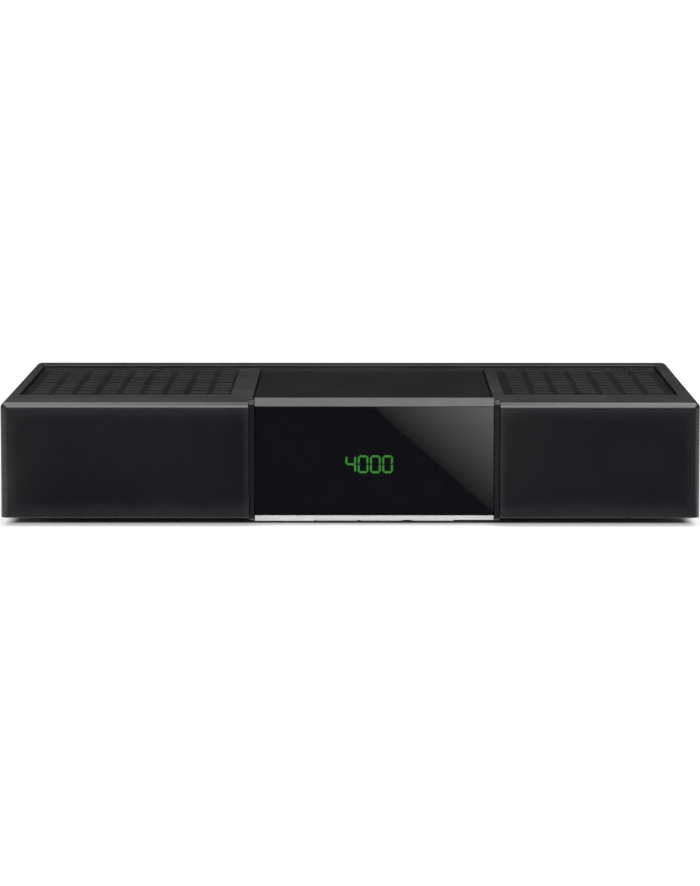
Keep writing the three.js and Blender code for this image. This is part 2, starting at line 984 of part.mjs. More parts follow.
// Display board and the parts on it
function displayBoard() {
  const board = blockBehind(
    openingLeft + displayBoardMargin,
    openingRight - displayBoardMargin,
    displayBoardDepth,
    displayBoardDepth + boardThickness,
    displayBoardBottom,
    displayBoardTop,
  );
  const bores = lugs.map(({ screw: x }) =>
    barY(
      x,
      displayScrewHeight,
      smallScrewRadius + fitGap,
      behind(displayBoardDepth - overrun),
      behind(displayBoardDepth + boardThickness + overrun),
      smallSides,
    ),
  );
  return cut(board, ...bores);
}

function displayModule() {
  return blockBehind(
    displayMiddleX - displayWidth / 2,
    displayMiddleX + displayWidth / 2,
    windowBack + fitGap,
    displayBoardDepth - fitGap,
    displayMiddleZ - displayHeight / 2,
    displayMiddleZ + displayHeight / 2,
  );
}

function infraredReceiver() {
  const back = displayBoardDepth - fitGap;
  const body = blockBehind(
    receiverMiddleX - receiverWidth / 2,
    receiverMiddleX + receiverWidth / 2,
    back - receiverBody,
    back,
    displayMiddleZ - receiverHeight / 2,
    displayMiddleZ + receiverHeight / 2,
  );
  const dome = barX(
    behind(back - receiverBody),
    displayMiddleZ,
    receiverDome,
    receiverMiddleX - receiverDome,
    receiverMiddleX + receiverDome,
    smallSides,
  );
  return join(body, dome);
}

// Bottom tray: floor, side rails, standoffs, screw pockets and ribs that hold the rear panel
function bottomTray() {
  const half = wallInnerX - fitGap;
  const floor = blockBehind(-half, half, shellWall + fitGap, caseDepth, groundClearance, trayTop);
  const raised = [trayTop - trayFloor / 2, trayTop + trayRailHeight];
  const rails = [-1, 1].map((side) =>
    block(
      Math.min(side * half, side * (half - trayRail)),
      Math.max(side * half, side * (half - trayRail)),
      behind(trayRailStart),
      behind(caseDepth - trayRailBackMargin),
      ...raised,
    ),
  );
  const ribs = [-stopRibMiddleX, stopRibMiddleX].map((x) =>
    block(
      x - stopRibLength / 2,
      x + stopRibLength / 2,
      rearPanelFront - fitGap - stopRibThickness,
      rearPanelFront - fitGap,
      trayTop - trayFloor / 2,
      trayTop + stopRibHeight,
    ),
  );
  const standoffs = boardScrewPlaces.map(([x, depth]) =>
    barZ(x, behind(depth), standoffRadius, trayTop - trayFloor / 2, trayTop + standoffHeight),
  );
  const pockets = postPlaces.map(([x, depth]) =>
    barZ(x, behind(depth), pocketRadius, trayTop - trayFloor / 2, pocketTop),
  );
  const notch = blockBehind(
    frameLeft - fitGap,
    frameRight + fitGap,
    0,
    frameDepth + fitGap,
    groundClearance - overrun,
    trayTop + overrun,
  );
  const panelRoom = block(
    -half,
    half,
    rearPanelFront - fitGap,
    rearY + overrun,
    trayTop,
    pocketTop + overrun,
  );
  const pocketBores = postPlaces.flatMap(([x, depth]) => {
    const start = groundClearance - overrun;
    return [
      barZ(x, behind(depth), screwHeadRadius + fitGap, start, groundClearance + pocketDepth),
      barZ(x, behind(depth), screwRadius + fitGap, start, pocketTop + overrun, smallSides),
    ];
  });
  const standoffBores = boardScrewPlaces.map(([x, depth]) =>
    barZ(
      x,
      behind(depth),
      smallScrewRadius + fitGap,
      trayTop,
      trayTop + standoffHeight + overrun,
      smallSides,
    ),
  );
  const footBores = footPlaces.map(([x, depth]) =>
    barZ(
      x,
      behind(depth),
      footStemRadius + fitGap,
      groundClearance - overrun,
      trayTop + overrun,
      smallSides,
    ),
  );
  const slots = [];
  for (const middle of [-floorSlotMiddleX, floorSlotMiddleX]) {
    for (let number = 0; number < floorSlotCount; number++) {
      const x = middle + (number - (floorSlotCount - 1) / 2) * floorSlotPitch;
      slots.push(
        blockBehind(
          x - floorSlotWidth / 2,
          x + floorSlotWidth / 2,
          floorSlotStart,
          floorSlotStart + floorSlotLength,
          groundClearance - overrun,
          trayTop + overrun,
        ),
      );
    }
  }
  return cut(
    join(floor, ...rails, ...ribs, ...standoffs, ...pockets),
    notch,
    panelRoom,
    ...pocketBores,
    ...standoffBores,
    ...footBores,
    ...slots,
  );
}

function rubberFoot([x, depth]) {
  return join(
    barZ(x, behind(depth), footRadius, 0, groundClearance - fitGap),
    barZ(x, behind(depth), footStemRadius, groundClearance / 2, trayTop + footStemRise, smallSides),
  );
}

const largeScrew = (bar, x, other, face, way, length) =>
  screw(bar, x, other, face, way, screwRadius, screwHeadRadius, screwHeadHeight, length);

function caseScrew([x, depth]) {
  const face = groundClearance + pocketDepth - fitGap - screwHeadHeight;
  return largeScrew(barZ, x, behind(depth), face, 1, screwLength);
}

function rearScrew(x) {
  const face = rearY + fitGap + screwHeadHeight;
  return largeScrew(barY, x, rearScrewHeight, face, -1, rearScrewLength);
}

const smallScrew = (bar, x, other, face, length) =>
  screw(bar, x, other, face, -1, smallScrewRadius, smallHeadRadius, smallHeadHeight, length);

function boardScrew([x, depth]) {
  const face = mainBoardTop + fitGap + smallHeadHeight;
  return smallScrew(barZ, x, behind(depth), face, smallScrewLength);
}

function displayScrew({ screw: x }) {
  const face = behind(displayBoardDepth + boardThickness + fitGap + smallHeadHeight);
  return smallScrew(barY, x, displayScrewHeight, face, smallScrewLength - fitGap);
}

function mainBoard() {
  const board = blockBehind(
    mainBoardLeft,
    mainBoardRight,
    mainBoardFront,
    mainBoardBack,
    mainBoardBottom,
    mainBoardTop,
  );
  const bores = boardScrewPlaces.map(([x, depth]) =>
    barZ(
      x,
      behind(depth),
      smallScrewRadius + fitGap,
      mainBoardBottom - overrun,
      mainBoardTop + overrun,
      smallSides,
    ),
  );
  return cut(board, ...bores);
}

// Aerial side: tuner can with the threaded connector, its insulator, contact and nut
const aerialZ = mainBoardTop + aerialRise;
const aerialTip = rearY + aerialReach;
const tunerBack = rearPanelFront - fitGap * 2;

function tunerCan() {
  return block(
    aerialMiddleX - tunerWidth / 2,
    aerialMiddleX + tunerWidth / 2,
    tunerBack - tunerDepth,
    tunerBack,
    seatZ,
    seatZ + tunerHeight,
  );
}

function aerialConnector() {
  return cut(
    barY(aerialMiddleX, aerialZ, barrelRadius, tunerBack + fitGap, aerialTip),
    barY(aerialMiddleX, aerialZ, barrelBore, aerialTip - barrelBoreDepth, aerialTip + overrun),
  );
}

function aerialInsulator() {
  const end = aerialTip - insulatorInset;
  const start = aerialTip - barrelBoreDepth + fitGap;
  const ring = cut(
    barY(aerialMiddleX, aerialZ, barrelBore - fitGap, start, end),
    barY(aerialMiddleX, aerialZ, insulatorHole, end - insulatorHoleDepth, end + overrun, smallSides),
  );
  const contactEnd = aerialTip - contactInset;
  const contact = barY(aerialMiddleX, aerialZ, contactRadius, start, contactEnd, smallSides);
  return join(ring, contact);
}

function aerialNut() {
  const start = rearY + fitGap;
  const end = start + nutThickness;
  return cut(
    barY(aerialMiddleX, aerialZ, nutRadius, start, end, nutSides),
    barY(aerialMiddleX, aerialZ, barrelRadius + fitGap, start - overrun, end + overrun),
  );
}

// SCART socket: a block with a slanted groove for the plug's skirt and two rows of contact slots
const scartMiddleZ = seatZ + scartHeight / 2;
const scartBack = rearY + scartProud;

function skirtOutline(grow) {
  const halfX = skirtWidth / 2 + grow;
  const halfZ = skirtHeight / 2 + grow;
  return outline(
    [
      [-halfX, -halfZ],
      [halfX, -halfZ],
      [halfX, halfZ],
      [-halfX + skirtSlant, halfZ],
      [-halfX, -halfZ + skirtSlant],
    ].map(([x, z]) => [scartMiddleX + x, scartMiddleZ + z]),
  );
}

function scartSocket() {
  const body = block(
    scartMiddleX - scartWidth / 2,
    scartMiddleX + scartWidth / 2,
    scartBack - scartDepth,
    scartBack,
    seatZ,
    seatZ + scartHeight,
  );
  const grooveStart = scartBack - skirtGrooveDepth;
  const groove = cut(
    prismY(skirtOutline(0), grooveStart, scartBack + overrun),
    prismY(skirtOutline(-skirtGroove), grooveStart - overrun, scartBack + overrun * 2),
  );
  const slots = [];
  for (const row of [-1, 1]) {
    for (let number = 0; number < scartSlotCount; number++) {
      const offset = (number - (scartSlotCount - 1) / 2) * scartSlotPitch + (row * scartSlotWidth) / 2;
      const x = scartMiddleX + offset;
      const z = scartMiddleZ + row * scartRowOffset;
      slots.push(
        block(
          x - scartSlotWidth / 2,
          x + scartSlotWidth / 2,
          scartBack - scartSlotDepth,
          scartBack + overrun,
          z - scartSlotLength / 2,
          z + scartSlotLength / 2,
        ),
      );
    }
  }
  return cut(body, groove, ...slots);
}

// HDMI and USB sockets: folded metal shells, each with a contact tongue inside
const socketBack = rearY + socketProud;

function hdmiOutline(inset) {
  const halfX = hdmiWidth / 2 - inset;
  const low = seatZ + inset;
  const high = seatZ + hdmiHeight - inset;
  return outline([
    [hdmiMiddleX - halfX + hdmiTaper, low],
    [hdmiMiddleX + halfX - hdmiTaper, low],
    [hdmiMiddleX + halfX, low + hdmiTaper],
    [hdmiMiddleX + halfX, high],
    [hdmiMiddleX - halfX, high],
    [hdmiMiddleX - halfX, low + hdmiTaper],
  ]);
}

function hdmiSocket() {
  const boreStart = socketBack - hdmiBore;
  const z = seatZ + hdmiTongueRise;
  const shell = cut(
    prismY(hdmiOutline(0), socketBack - hdmiDepth, socketBack),
    prismY(hdmiOutline(hdmiShell), boreStart, socketBack + overrun),
  );
  const halfTongue = hdmiTongueWidth / 2;
  const tongue = block(
    hdmiMiddleX - halfTongue,
    hdmiMiddleX + halfTongue,
    boreStart - overrun,
    socketBack - hdmiTongueInset,
    z,
    z + hdmiTongueThickness,
  );
  return join(shell, tongue);
}

function usbSocket() {
  const halfX = usbWidth / 2;
  const innerX = halfX - usbShell;
  const boreStart = socketBack - usbBore;
  const z = seatZ + usbTongueRise;
  const shell = cut(
    block(
      usbMiddleX - halfX,
      usbMiddleX + halfX,
      socketBack - usbDepth,
      socketBack,
      seatZ,
      seatZ + usbHeight,
    ),
    block(
      usbMiddleX - innerX,
      usbMiddleX + innerX,
      boreStart,
      socketBack + overrun,
      seatZ + usbShell,
      seatZ + usbHeight - usbShell,
    ),
  );
  const halfTongue = usbTongueWidth / 2;
  const tongue = block(
    usbMiddleX - halfTongue,
    usbMiddleX + halfTongue,
    boreStart - overrun,
    socketBack - usbTongueInset,
    z,
    z + usbTongueThickness,
  );
  return join(shell, tongue);
}

// Digital audio socket: a moulded block with a barrel that reaches out, and a core inside
const audioZ = seatZ + audioRise;
const audioTip = rearY + audioReach;

function audioSocket() {
  const blockBack = rearPanelFront - fitGap;
  return cut(
    join(
      block(
        audioMiddleX - audioBlockWidth / 2,
        audioMiddleX + audioBlockWidth / 2,
        blockBack - audioBlockDepth,
        blockBack,
        seatZ,
        seatZ + audioBlockHeight,
      ),
      barY(audioMiddleX, audioZ, audioRadius, blockBack - overrun, audioTip),
    ),
    barY(audioMiddleX, audioZ, audioBore, audioTip - audioBoreDepth, audioTip + overrun),
  );
}

function audioCore() {
  const start = audioTip - audioBoreDepth + fitGap;
  const end = audioTip - audioCoreInset;
  return cut(
    barY(audioMiddleX, audioZ, audioBore - fitGap, start, end),
    barY(audioMiddleX, audioZ, audioCoreBore, start + overrun, end + overrun, smallSides),
  );
}

// Power jack: a block with a round bore and a pin in it
const jackZ = seatZ + jackRise;

function powerJack() {
  const boreStart = socketBack - jackBoreDepth;
  const body = cut(
    block(
      jackMiddleX - jackWidth / 2,
      jackMiddleX + jackWidth / 2,
      socketBack - jackDepth,
      socketBack,
      seatZ,
      seatZ + jackHeight,
    ),
    barY(jackMiddleX, jackZ, jackBore, boreStart, socketBack + overrun),
  );
  const pinEnd = socketBack - jackPinInset;
  const pin = barY(jackMiddleX, jackZ, jackPinRadius, boreStart - overrun, pinEnd, smallSides);
  return join(body, pin);
}

// Power switch: body with bezel and pocket, and a rocker on two pins, tipped to its "on" side at rest
const bezelBack = rearY + fitGap + bezelThickness;
const pivotY = rearY - pivotInside;

function powerSwitchBody() {
  const around = (width, height, y0, y1) =>
    block(
      switchMiddleX - width / 2,
      switchMiddleX + width / 2,
      y0,
      y1,
      switchMiddleZ - height / 2,
      switchMiddleZ + height / 2,
    );
  const body = around(switchBodyWidth, switchBodyHeight, rearY - switchBodyDepth, bezelBack);
  const bezel = around(bezelWidth, bezelHeight, rearY + fitGap, bezelBack);
  const pocketStart = bezelBack - switchPocketDepth;
  const pocket = around(switchPocketWidth, switchPocketHeight, pocketStart, bezelBack + overrun);
  const pinBore = barX(
    pivotY,
    switchMiddleZ,
    pivotPinRadius + pivotPinFit,
    switchMiddleX - switchPocketWidth / 2 - pivotPinLength,
    switchMiddleX + switchPocketWidth / 2 + pivotPinLength,
  );
  return cut(join(body, bezel), pocket, pinBore);
}

function powerRocker() {
  const halfX = switchPocketWidth / 2 - fitGap;
  const face = bezelBack - pivotY;
  const profile = outline([
    [-rockerRoot, -rockerRootHalf],
    [-rockerRoot, rockerRootHalf],
    [rockerSideStep, rockerHalf],
    [face + rockerEnd - rockerDish, rockerHalf],
    [face, 0],
    [face + rockerEnd - rockerDish, -rockerHalf],
    [rockerSideStep, -rockerHalf],
  ]);
  const geometry = extrude(profile, halfX * 2);
  geometry.applyMatrix4(new THREE.Matrix4().set(0, 0, 1, -halfX, 1, 0, 0, 0, 0, 1, 0, 0, 0, 0, 0, 1));
  geometry.rotateX(THREE.MathUtils.degToRad(rockerTilt));
  geometry.translate(switchMiddleX, pivotY, switchMiddleZ);
  const reach = halfX + fitGap + pivotPinLength - pivotPinFit;
  return join(
    solid(geometry),
    barX(pivotY, switchMiddleZ, pivotPinRadius, switchMiddleX - reach, switchMiddleX + reach),
  );
}

// Twin wire from the switch down to the main board
function switchWires() {
  const startY = rearY - switchBodyDepth - fitGap;
  const startZ = switchMiddleZ - wireExitDrop;
  const endY = behind(mainBoardBack - wireEndInset);
  const section = new THREE.Shape(
    Array.from({ length: wireSides }, (_, corner) => {
      const angle = (corner / wireSides) * Math.PI * 2;
      return new THREE.Vector2(wireRadius * Math.cos(angle), wireRadius * Math.sin(angle));
    }),
  );
  const wires = [-1, 1].map((side) => {
    const x = switchMiddleX + (side * wireSpread) / 2;
    const endX = mainBoardRight - wireEndMargin + (side * wireSpread) / 2;
    const path = new THREE.CatmullRomCurve3([
      new THREE.Vector3(x, startY, startZ),
      new THREE.Vector3(x, startY - wireBend / 2, startZ),
      new THREE.Vector3((x + endX) / 2, endY - wireBend, startZ + wireBend),
      new THREE.Vector3(endX, endY, seatZ + wireBend * 2),
      new THREE.Vector3(endX, endY, seatZ),
    ]);
    return solid(new THREE.ExtrudeGeometry(section, { steps: wireSteps, extrudePath: path }));
  });
  return join(...wires);
}

// Rear panel with a cut-out round each socket
function rearPanel() {
  const half = wallInnerX - fitGap;
  const plate = block(
    -half,
    half,
    rearPanelFront,
    rearY,
    trayTop + fitGap,
    shellUnderside - fitGap,
  );
  const y0 = rearPanelFront - overrun;
  const y1 = rearY + overrun;
  const window = (x, halfX, low, high) =>
    block(x - halfX - fitGap, x + halfX + fitGap, y0, y1, low - fitGap, high + fitGap);
  return cut(
    plate,
    barY(aerialMiddleX, aerialZ, barrelRadius + fitGap, y0, y1),
    window(scartMiddleX, scartWidth / 2, seatZ, seatZ + scartHeight),
    window(hdmiMiddleX, hdmiWidth / 2, seatZ, seatZ + hdmiHeight),
    window(usbMiddleX, usbWidth / 2, seatZ, seatZ + usbHeight),
    barY(audioMiddleX, audioZ, audioRadius + fitGap, y0, y1),
    window(jackMiddleX, jackWidth / 2, seatZ, seatZ + jackHeight),
    window(
      switchMiddleX,
      switchBodyWidth / 2,
      switchMiddleZ - switchBodyHeight / 2,
      switchMiddleZ + switchBodyHeight / 2,
    ),
    ...[-postMiddleX, postMiddleX].map((x) =>
      barY(x, rearScrewHeight, screwRadius + fitGap, y0, y1, smallSides),
    ),
  );
}

// A part that sits on the main board, given by its middle behind the board's front edge
function onBoard(x, inset, width, length, height, rise = 0) {
  const depth = mainBoardFront + inset;
  return blockBehind(
    x - width / 2,
    x + width / 2,
    depth - length / 2,
    depth + length / 2,
    seatZ + rise,
    seatZ + rise + height,
  );
}

function heatSink() {
  const rise = processorHeight + fitGap;
  const fins = Array.from({ length: finCount }, (_, number) => {
    const x = across("processor") + (number - (finCount - 1) / 2) * finPitch;
    return onBoard(
      x,
      along("processor"),
      finThickness,
      sinkLength,
      finHeight + sinkBase / 2,
      rise + sinkBase / 2,
    );
  });
  const base = onBoard(
    across("processor"),
    along("processor"),
    sinkWidth,
    sinkLength,
    sinkBase,
    rise,
  );
  return join(base, ...fins);
}

const chip = (place, width, length, height) =>
  onBoard(across(place), along(place), width, length, height);

const capacitor = (place, radius, height) =>
  barZ(across(place), behind(mainBoardFront + along(place)), radius, seatZ, seatZ + height);

function inductor() {
  const half = inductorSize / 2;
  const x = across("inductor");
  const y = behind(mainBoardFront + along("inductor"));
  const points = roundedRectangle(x - half, x + half, y - half, y + half, inductorCorner);
  return prismZ(outline(points), seatZ, seatZ + inductorHeight);
}

// Ribbon cable: a flat strip along a curve from the display board to the main board's header
function mainHeader() {
  return onBoard(
    ribbonX,
    headerInset,
    ribbonWidth + headerMargin * 2,
    headerLength,
    headerHeight,
  );
}

function ribbonCable() {
  const startDepth = displayBoardDepth + boardThickness + fitGap;
  const endZ = seatZ + headerHeight + fitGap;
  const run = mainHeaderDepth - startDepth;
  const path = new THREE.SplineCurve(
    [
      [startDepth, ribbonStartZ],
      [startDepth + run * ribbonFirstShare, ribbonStartZ + ribbonThickness],
      [startDepth + run * ribbonArchShare, ribbonStartZ + ribbonArch],
      [mainHeaderDepth - ribbonThickness, endZ + ribbonFall],
      [mainHeaderDepth, endZ + ribbonThickness * 2],
      [mainHeaderDepth, endZ],
    ].map(([depth, z]) => new THREE.Vector2(behind(depth), z)),
  );
  const upper = [];
  const lower = [];
  for (let step = 0; step <= ribbonSteps; step++) {
    const point = path.getPoint(step / ribbonSteps);
    const along = step === 0 ? new THREE.Vector2(1, 0) : path.getTangent(step / ribbonSteps);
    const across = step === ribbonSteps ? new THREE.Vector2(1, 0) : new THREE.Vector2(-along.y, along.x);
    const half = ribbonThickness / 2;
    upper.push([point.x + across.x * half, point.y + across.y * half]);
    lower.push([point.x - across.x * half, point.y - across.y * half]);
  }
  return prismX(
    outline([...upper, ...lower.reverse()]),
    ribbonX - ribbonWidth / 2,
    ribbonX + ribbonWidth / 2,
  );
}

// The assembly, from the outside in
const sides = ["front_left", "front_right", "rear_left", "rear_right"];

add("top_cover", topCover(), satinBlack());
add("vent_panel", ventPanel(), darkPanel());
add("bottom_tray", bottomTray(), blackPlastic());
add("rear_panel", rearPanel(), steel());
footPlaces.forEach((place, number) => add(`foot_${sides[number]}`, rubberFoot(place), rubber()));
postPlaces.forEach((place, number) => add(`case_screw_${sides[number]}`, caseScrew(place), steel()));
add("rear_screw_left", rearScrew(-postMiddleX), steel());
add("rear_screw_right", rearScrew(postMiddleX), steel());

add("display_frame", displayFrame(), satinBlack());
add("display_window", displayWindow(), glossBlack());
add("top_trim", topTrim(), satinSilver());
add("bottom_trim", bottomTrim(), brightSilver());
for (const place of keys) {
  add(`${place.name}_key`, key(place), brightSilver());
  add(`${place.name}_plunger`, plunger(place), blackPlastic());
  add(`${place.name}_switch`, keySwitch(place), steel());
}
add("display_board", displayBoard(), boardGreen());
add("display_screw_left", displayScrew(lugs[0]), steel());
add("display_screw_right", displayScrew(lugs[1]), steel());
add("led_display", displayModule(), chipBlack());
add("infrared_receiver", infraredReceiver(), chipBlack());
add("ribbon_cable", ribbonCable(), whitePlastic());

add("main_board", mainBoard(), boardGreen());
add("main_board_header", mainHeader(), whitePlastic());
boardScrewPlaces.forEach((place, number) => {
  add(`board_screw_${sides[number]}`, boardScrew(place), steel());
});
add("tuner_can", tunerCan(), steel());
add("aerial_connector", aerialConnector(), nickel());
add("aerial_insulator", aerialInsulator(), whitePlastic());
add("aerial_nut", aerialNut(), nickel());
add("scart_socket", scartSocket(), blackPlastic());
add("hdmi_socket", hdmiSocket(), nickel());
add("usb_socket", usbSocket(), nickel());
add("audio_socket", audioSocket(), nickel());
add("audio_core", audioCore(), orangePlastic());
add("power_jack", powerJack(), blackPlastic());
add("power_switch_body", powerSwitchBody(), blackPlastic());
add("power_rocker", powerRocker(), blackPlastic());
add("switch_wires", switchWires(), wireRed());

const processor = chip("processor", processorSize, processorSize, processorHeight);
const memory = chip("memory", memoryWidth, memoryLength, memoryHeight);
const largeCapacitor = capacitor("largeCapacitor", largeCapacitorRadius, largeCapacitorHeight);
const mediumCapacitor = capacitor("mediumCapacitor", mediumCapacitorRadius, mediumCapacitorHeight);
const smallCapacitor = capacitor("smallCapacitor", smallCapacitorRadius, smallCapacitorHeight);
add("processor", processor, chipBlack());
add("heat_sink", heatSink(), steel());
add("memory_chip", memory, chipBlack());
add("capacitor_large", largeCapacitor, chipBlack());
add("capacitor_medium", mediumCapacitor, chipBlack());
add("capacitor_small", smallCapacitor, chipBlack());
add("inductor", inductor(), chipBlack());

export default receiver;
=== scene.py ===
"""Looks of a satellite television receiver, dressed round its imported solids.

Metres, X to the right seen from the front, Y to the back, Z up. Sizes in the tables are in
millimetres and are turned into metres by MM. "Behind" is a distance back from the wings' front face.
"""

import json
import math

import bmesh
import bpy
import numpy as np
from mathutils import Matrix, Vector


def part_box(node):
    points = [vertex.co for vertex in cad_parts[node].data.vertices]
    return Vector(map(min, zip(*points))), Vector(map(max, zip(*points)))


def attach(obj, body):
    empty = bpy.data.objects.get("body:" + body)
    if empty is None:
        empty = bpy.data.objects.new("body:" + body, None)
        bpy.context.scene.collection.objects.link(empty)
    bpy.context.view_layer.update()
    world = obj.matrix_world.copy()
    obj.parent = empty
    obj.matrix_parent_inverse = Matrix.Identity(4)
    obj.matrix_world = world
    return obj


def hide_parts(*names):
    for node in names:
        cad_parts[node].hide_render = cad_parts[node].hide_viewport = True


MM = 0.001
FULL_TURN = 2 * math.pi

# Camera: where the photograph was taken from, in millimetres and degrees
CAMERA_PLACE = (4.4, -1284.5, 163.0)
CAMERA_PITCH = 6.42
CAMERA_YAW = 0.21
CAMERA_LENS = 199.4
CAMERA_SENSOR = 36
CAMERA_NEAR = 50
CAMERA_FAR = 60000

# The wings' front face
FRONT_Y = -74.5


def make_camera():
    """The photograph's camera, level along its width and pitched down onto the receiver."""
    lens = bpy.data.cameras.new("receiver_camera")
    lens.sensor_fit = "HORIZONTAL"
    lens.sensor_width = CAMERA_SENSOR
    lens.lens = CAMERA_LENS
    lens.clip_start = CAMERA_NEAR * MM
    lens.clip_end = CAMERA_FAR * MM
    camera = bpy.data.objects.new("receiver_camera", lens)
    camera.location = Vector(CAMERA_PLACE) * MM
    camera.rotation_euler = (math.radians(90 - CAMERA_PITCH), 0, math.radians(CAMERA_YAW))
    bpy.context.scene.collection.objects.link(camera)
    bpy.context.scene.camera = camera


# Surfaces worked out as arrays

LEAST_CORNER = 0.02


def smooth(value, low, high):
    """A smooth step of an array from nought at low to one at high."""
    share = np.clip((value - low) / (high - low), 0, 1)
    return share * share * (3 - 2 * share)


def turn_in(sides):
    """The angles of a full turn in so many steps."""
    return np.linspace(0, FULL_TURN, sides, endpoint=False)


def grid_on(axis, first, second, along):
    """Points from their places along an axis, which come last, and along the other two in order."""
    parts = [first, second]
    parts.insert(axis, along)
    return np.stack(np.broadcast_arrays(*parts), axis=-1).astype(float)


def rectangle(low, high):
    """The corners of a rectangle between two opposite corners."""
    (left, foot), (right, top) = low, high
    return np.array([(left, foot), (right, foot), (right, top), (left, top)], float)


def grid_faces(rows, columns, wraps):
    """Quads of a grid of points, which may close on itself along its columns and along its rows."""
    starts = np.arange(rows - (not wraps[0])), np.arange(columns - (not wraps[1]))
    row, column = np.meshgrid(*starts, indexing="ij")
    ahead, beside = (row + 1) % rows, (column + 1) % columns
    corners = (row, column), (row, beside), (ahead, beside), (ahead, column)
    return np.stack([first * columns + second for first, second in corners], axis=-1).reshape(-1, 4)


def faced_out(points, quads, ends=()):
    """Points, and quads and end faces turned outwards.

    The volume is a sixth of the sum of each triangle's first corner times the cross product of
    the other two, so its sign tells which way the faces point.
    """
    fans = [np.stack([np.full(len(end) - 2, end[0]), end[1:-1], end[2:]], axis=1) for end in ends]
    triangles = np.concatenate([quads[:, :3], quads[:, [0, 2, 3]], *fans])
    first, second, third = np.moveaxis((points - points.mean(axis=0))[triangles], 1, 0)
    faces = quads.tolist() + list(ends)
    if np.sum(first * np.cross(second, third)) < 0:
        faces = [face[::-1] for face in faces]
    return points, faces


def shell(grid):
    """A grid of looped rows, closed with a flat face at each end."""
    rows, columns = grid.shape[:2]
    last = (rows - 1) * columns
    ends = [list(range(columns))[::-1], list(range(last, last + columns))]
    return faced_out(grid.reshape(-1, 3), grid_faces(rows, columns, (False, True)), ends)


def looped(grid):
    """A grid of looped rows whose last row joins the first."""
    return faced_out(grid.reshape(-1, 3), grid_faces(*grid.shape[:2], (True, True)))


def together(shells):
    """Several closed shells as one list of points and faces."""
    points = np.concatenate([part for part, _ in shells])
    starts = np.cumsum([0] + [len(part) for part, _ in shells[:-1]])
    faces = [
        [int(start) + corner for corner in face]
        for start, (_, part_faces) in zip(starts, shells)
        for face in part_faces
    ]
    return points, faces


def rounded_loop(corners, radii, steps=4):
    """A closed loop through corners, each rounded by an arc.

    An arc's centre lies on the corner's bisector, at the radius over the sine of half its angle,
    and the arc runs between the two points where the sides touch its circle.
    """
    corners = np.asarray(corners, float)
    radii = np.broadcast_to(np.asarray(radii, float), (len(corners),))
    back = np.roll(corners, 1, axis=0) - corners
    ahead = np.roll(corners, -1, axis=0) - corners
    back /= np.linalg.norm(back, axis=1, keepdims=True)
    ahead /= np.linalg.norm(ahead, axis=1, keepdims=True)
    half = np.arccos(np.clip(np.sum(back * ahead, axis=1), -1, 1)) / 2
    bisector = back + ahead
    bisector /= np.linalg.norm(bisector, axis=1, keepdims=True)
    centres = corners + bisector * (radii / np.sin(half))[:, None]
    start = corners + back * (radii / np.tan(half))[:, None] - centres
    finish = corners + ahead * (radii / np.tan(half))[:, None] - centres
    share = np.linspace(0, 1, steps + 1)[None, :, None]
    between = start[:, None, :] * (1 - share) + finish[:, None, :] * share
    length = np.linalg.norm(between, axis=2, keepdims=True)
    arcs = centres[:, None, :] + between * radii[:, None, None] / np.maximum(length, 1e-9)
    return arcs.reshape(-1, 2)


def broken_ends(low, high, round_end, steps):
    """Places between two ends, and how far the section draws in at each.

    Near each end the draw follows a quarter circle: the radius times one minus a sine, at the
    radius times one minus a cosine from the end.
    """
    angle = np.linspace(0, math.pi / 2, steps + 1)
    inset = round_end * (1 - np.sin(angle))
    along = round_end * (1 - np.cos(angle))
    return np.concatenate([low + along, (high - along)[::-1]]), np.concatenate([inset, inset[::-1]])


def carried_along_x(loop, x0, x1, round_end, steps=3):
    """A loop of (behind, z) carried along X; near each end it draws in towards its middle."""
    places, insets = broken_ends(x0, x1, round_end, steps)
    middle = loop.mean(axis=0)
    reach = np.linalg.norm(loop - middle, axis=1, keepdims=True)
    drawn = loop[None] - (loop - middle)[None] / reach[None] * insets[:, None, None]
    return shell(grid_on(0, FRONT_Y + drawn[..., 0], drawn[..., 1], places[:, None]))


def rounded_slab(low, high, corner, edge, steps=4):
    """An upright slab: rounded rectangles of X and Z, drawn in near both faces, carried along Y."""
    levels, insets = broken_ends(low[1], high[1], edge, steps)
    rims = [rectangle(low[::2] + inset, high[::2] - inset) for inset in insets]
    radii = np.maximum(corner - insets, LEAST_CORNER)
    loops = np.array([rounded_loop(rim, radius, steps) for rim, radius in zip(rims, radii)])
    return shell(grid_on(1, loops[..., 0], loops[..., 1], levels[:, None]))


def turned(profile, middle, sides=48):
    """A profile of (radius, height) turned once round an upright line through a middle."""
    profile = np.asarray(profile, float)
    radius, height = profile[:, :1], profile[:, 1:]
    angle = turn_in(sides)
    return shell(grid_on(2, middle[0] + radius * np.cos(angle), middle[1] + radius * np.sin(angle), height))


def thread_wave(along, pitch, angle):
    """A triangle wave, one at the roots, of the place over the pitch less the angle over a turn."""
    return np.abs(np.mod(along / pitch - angle / FULL_TURN, 1) - 0.5) * 2


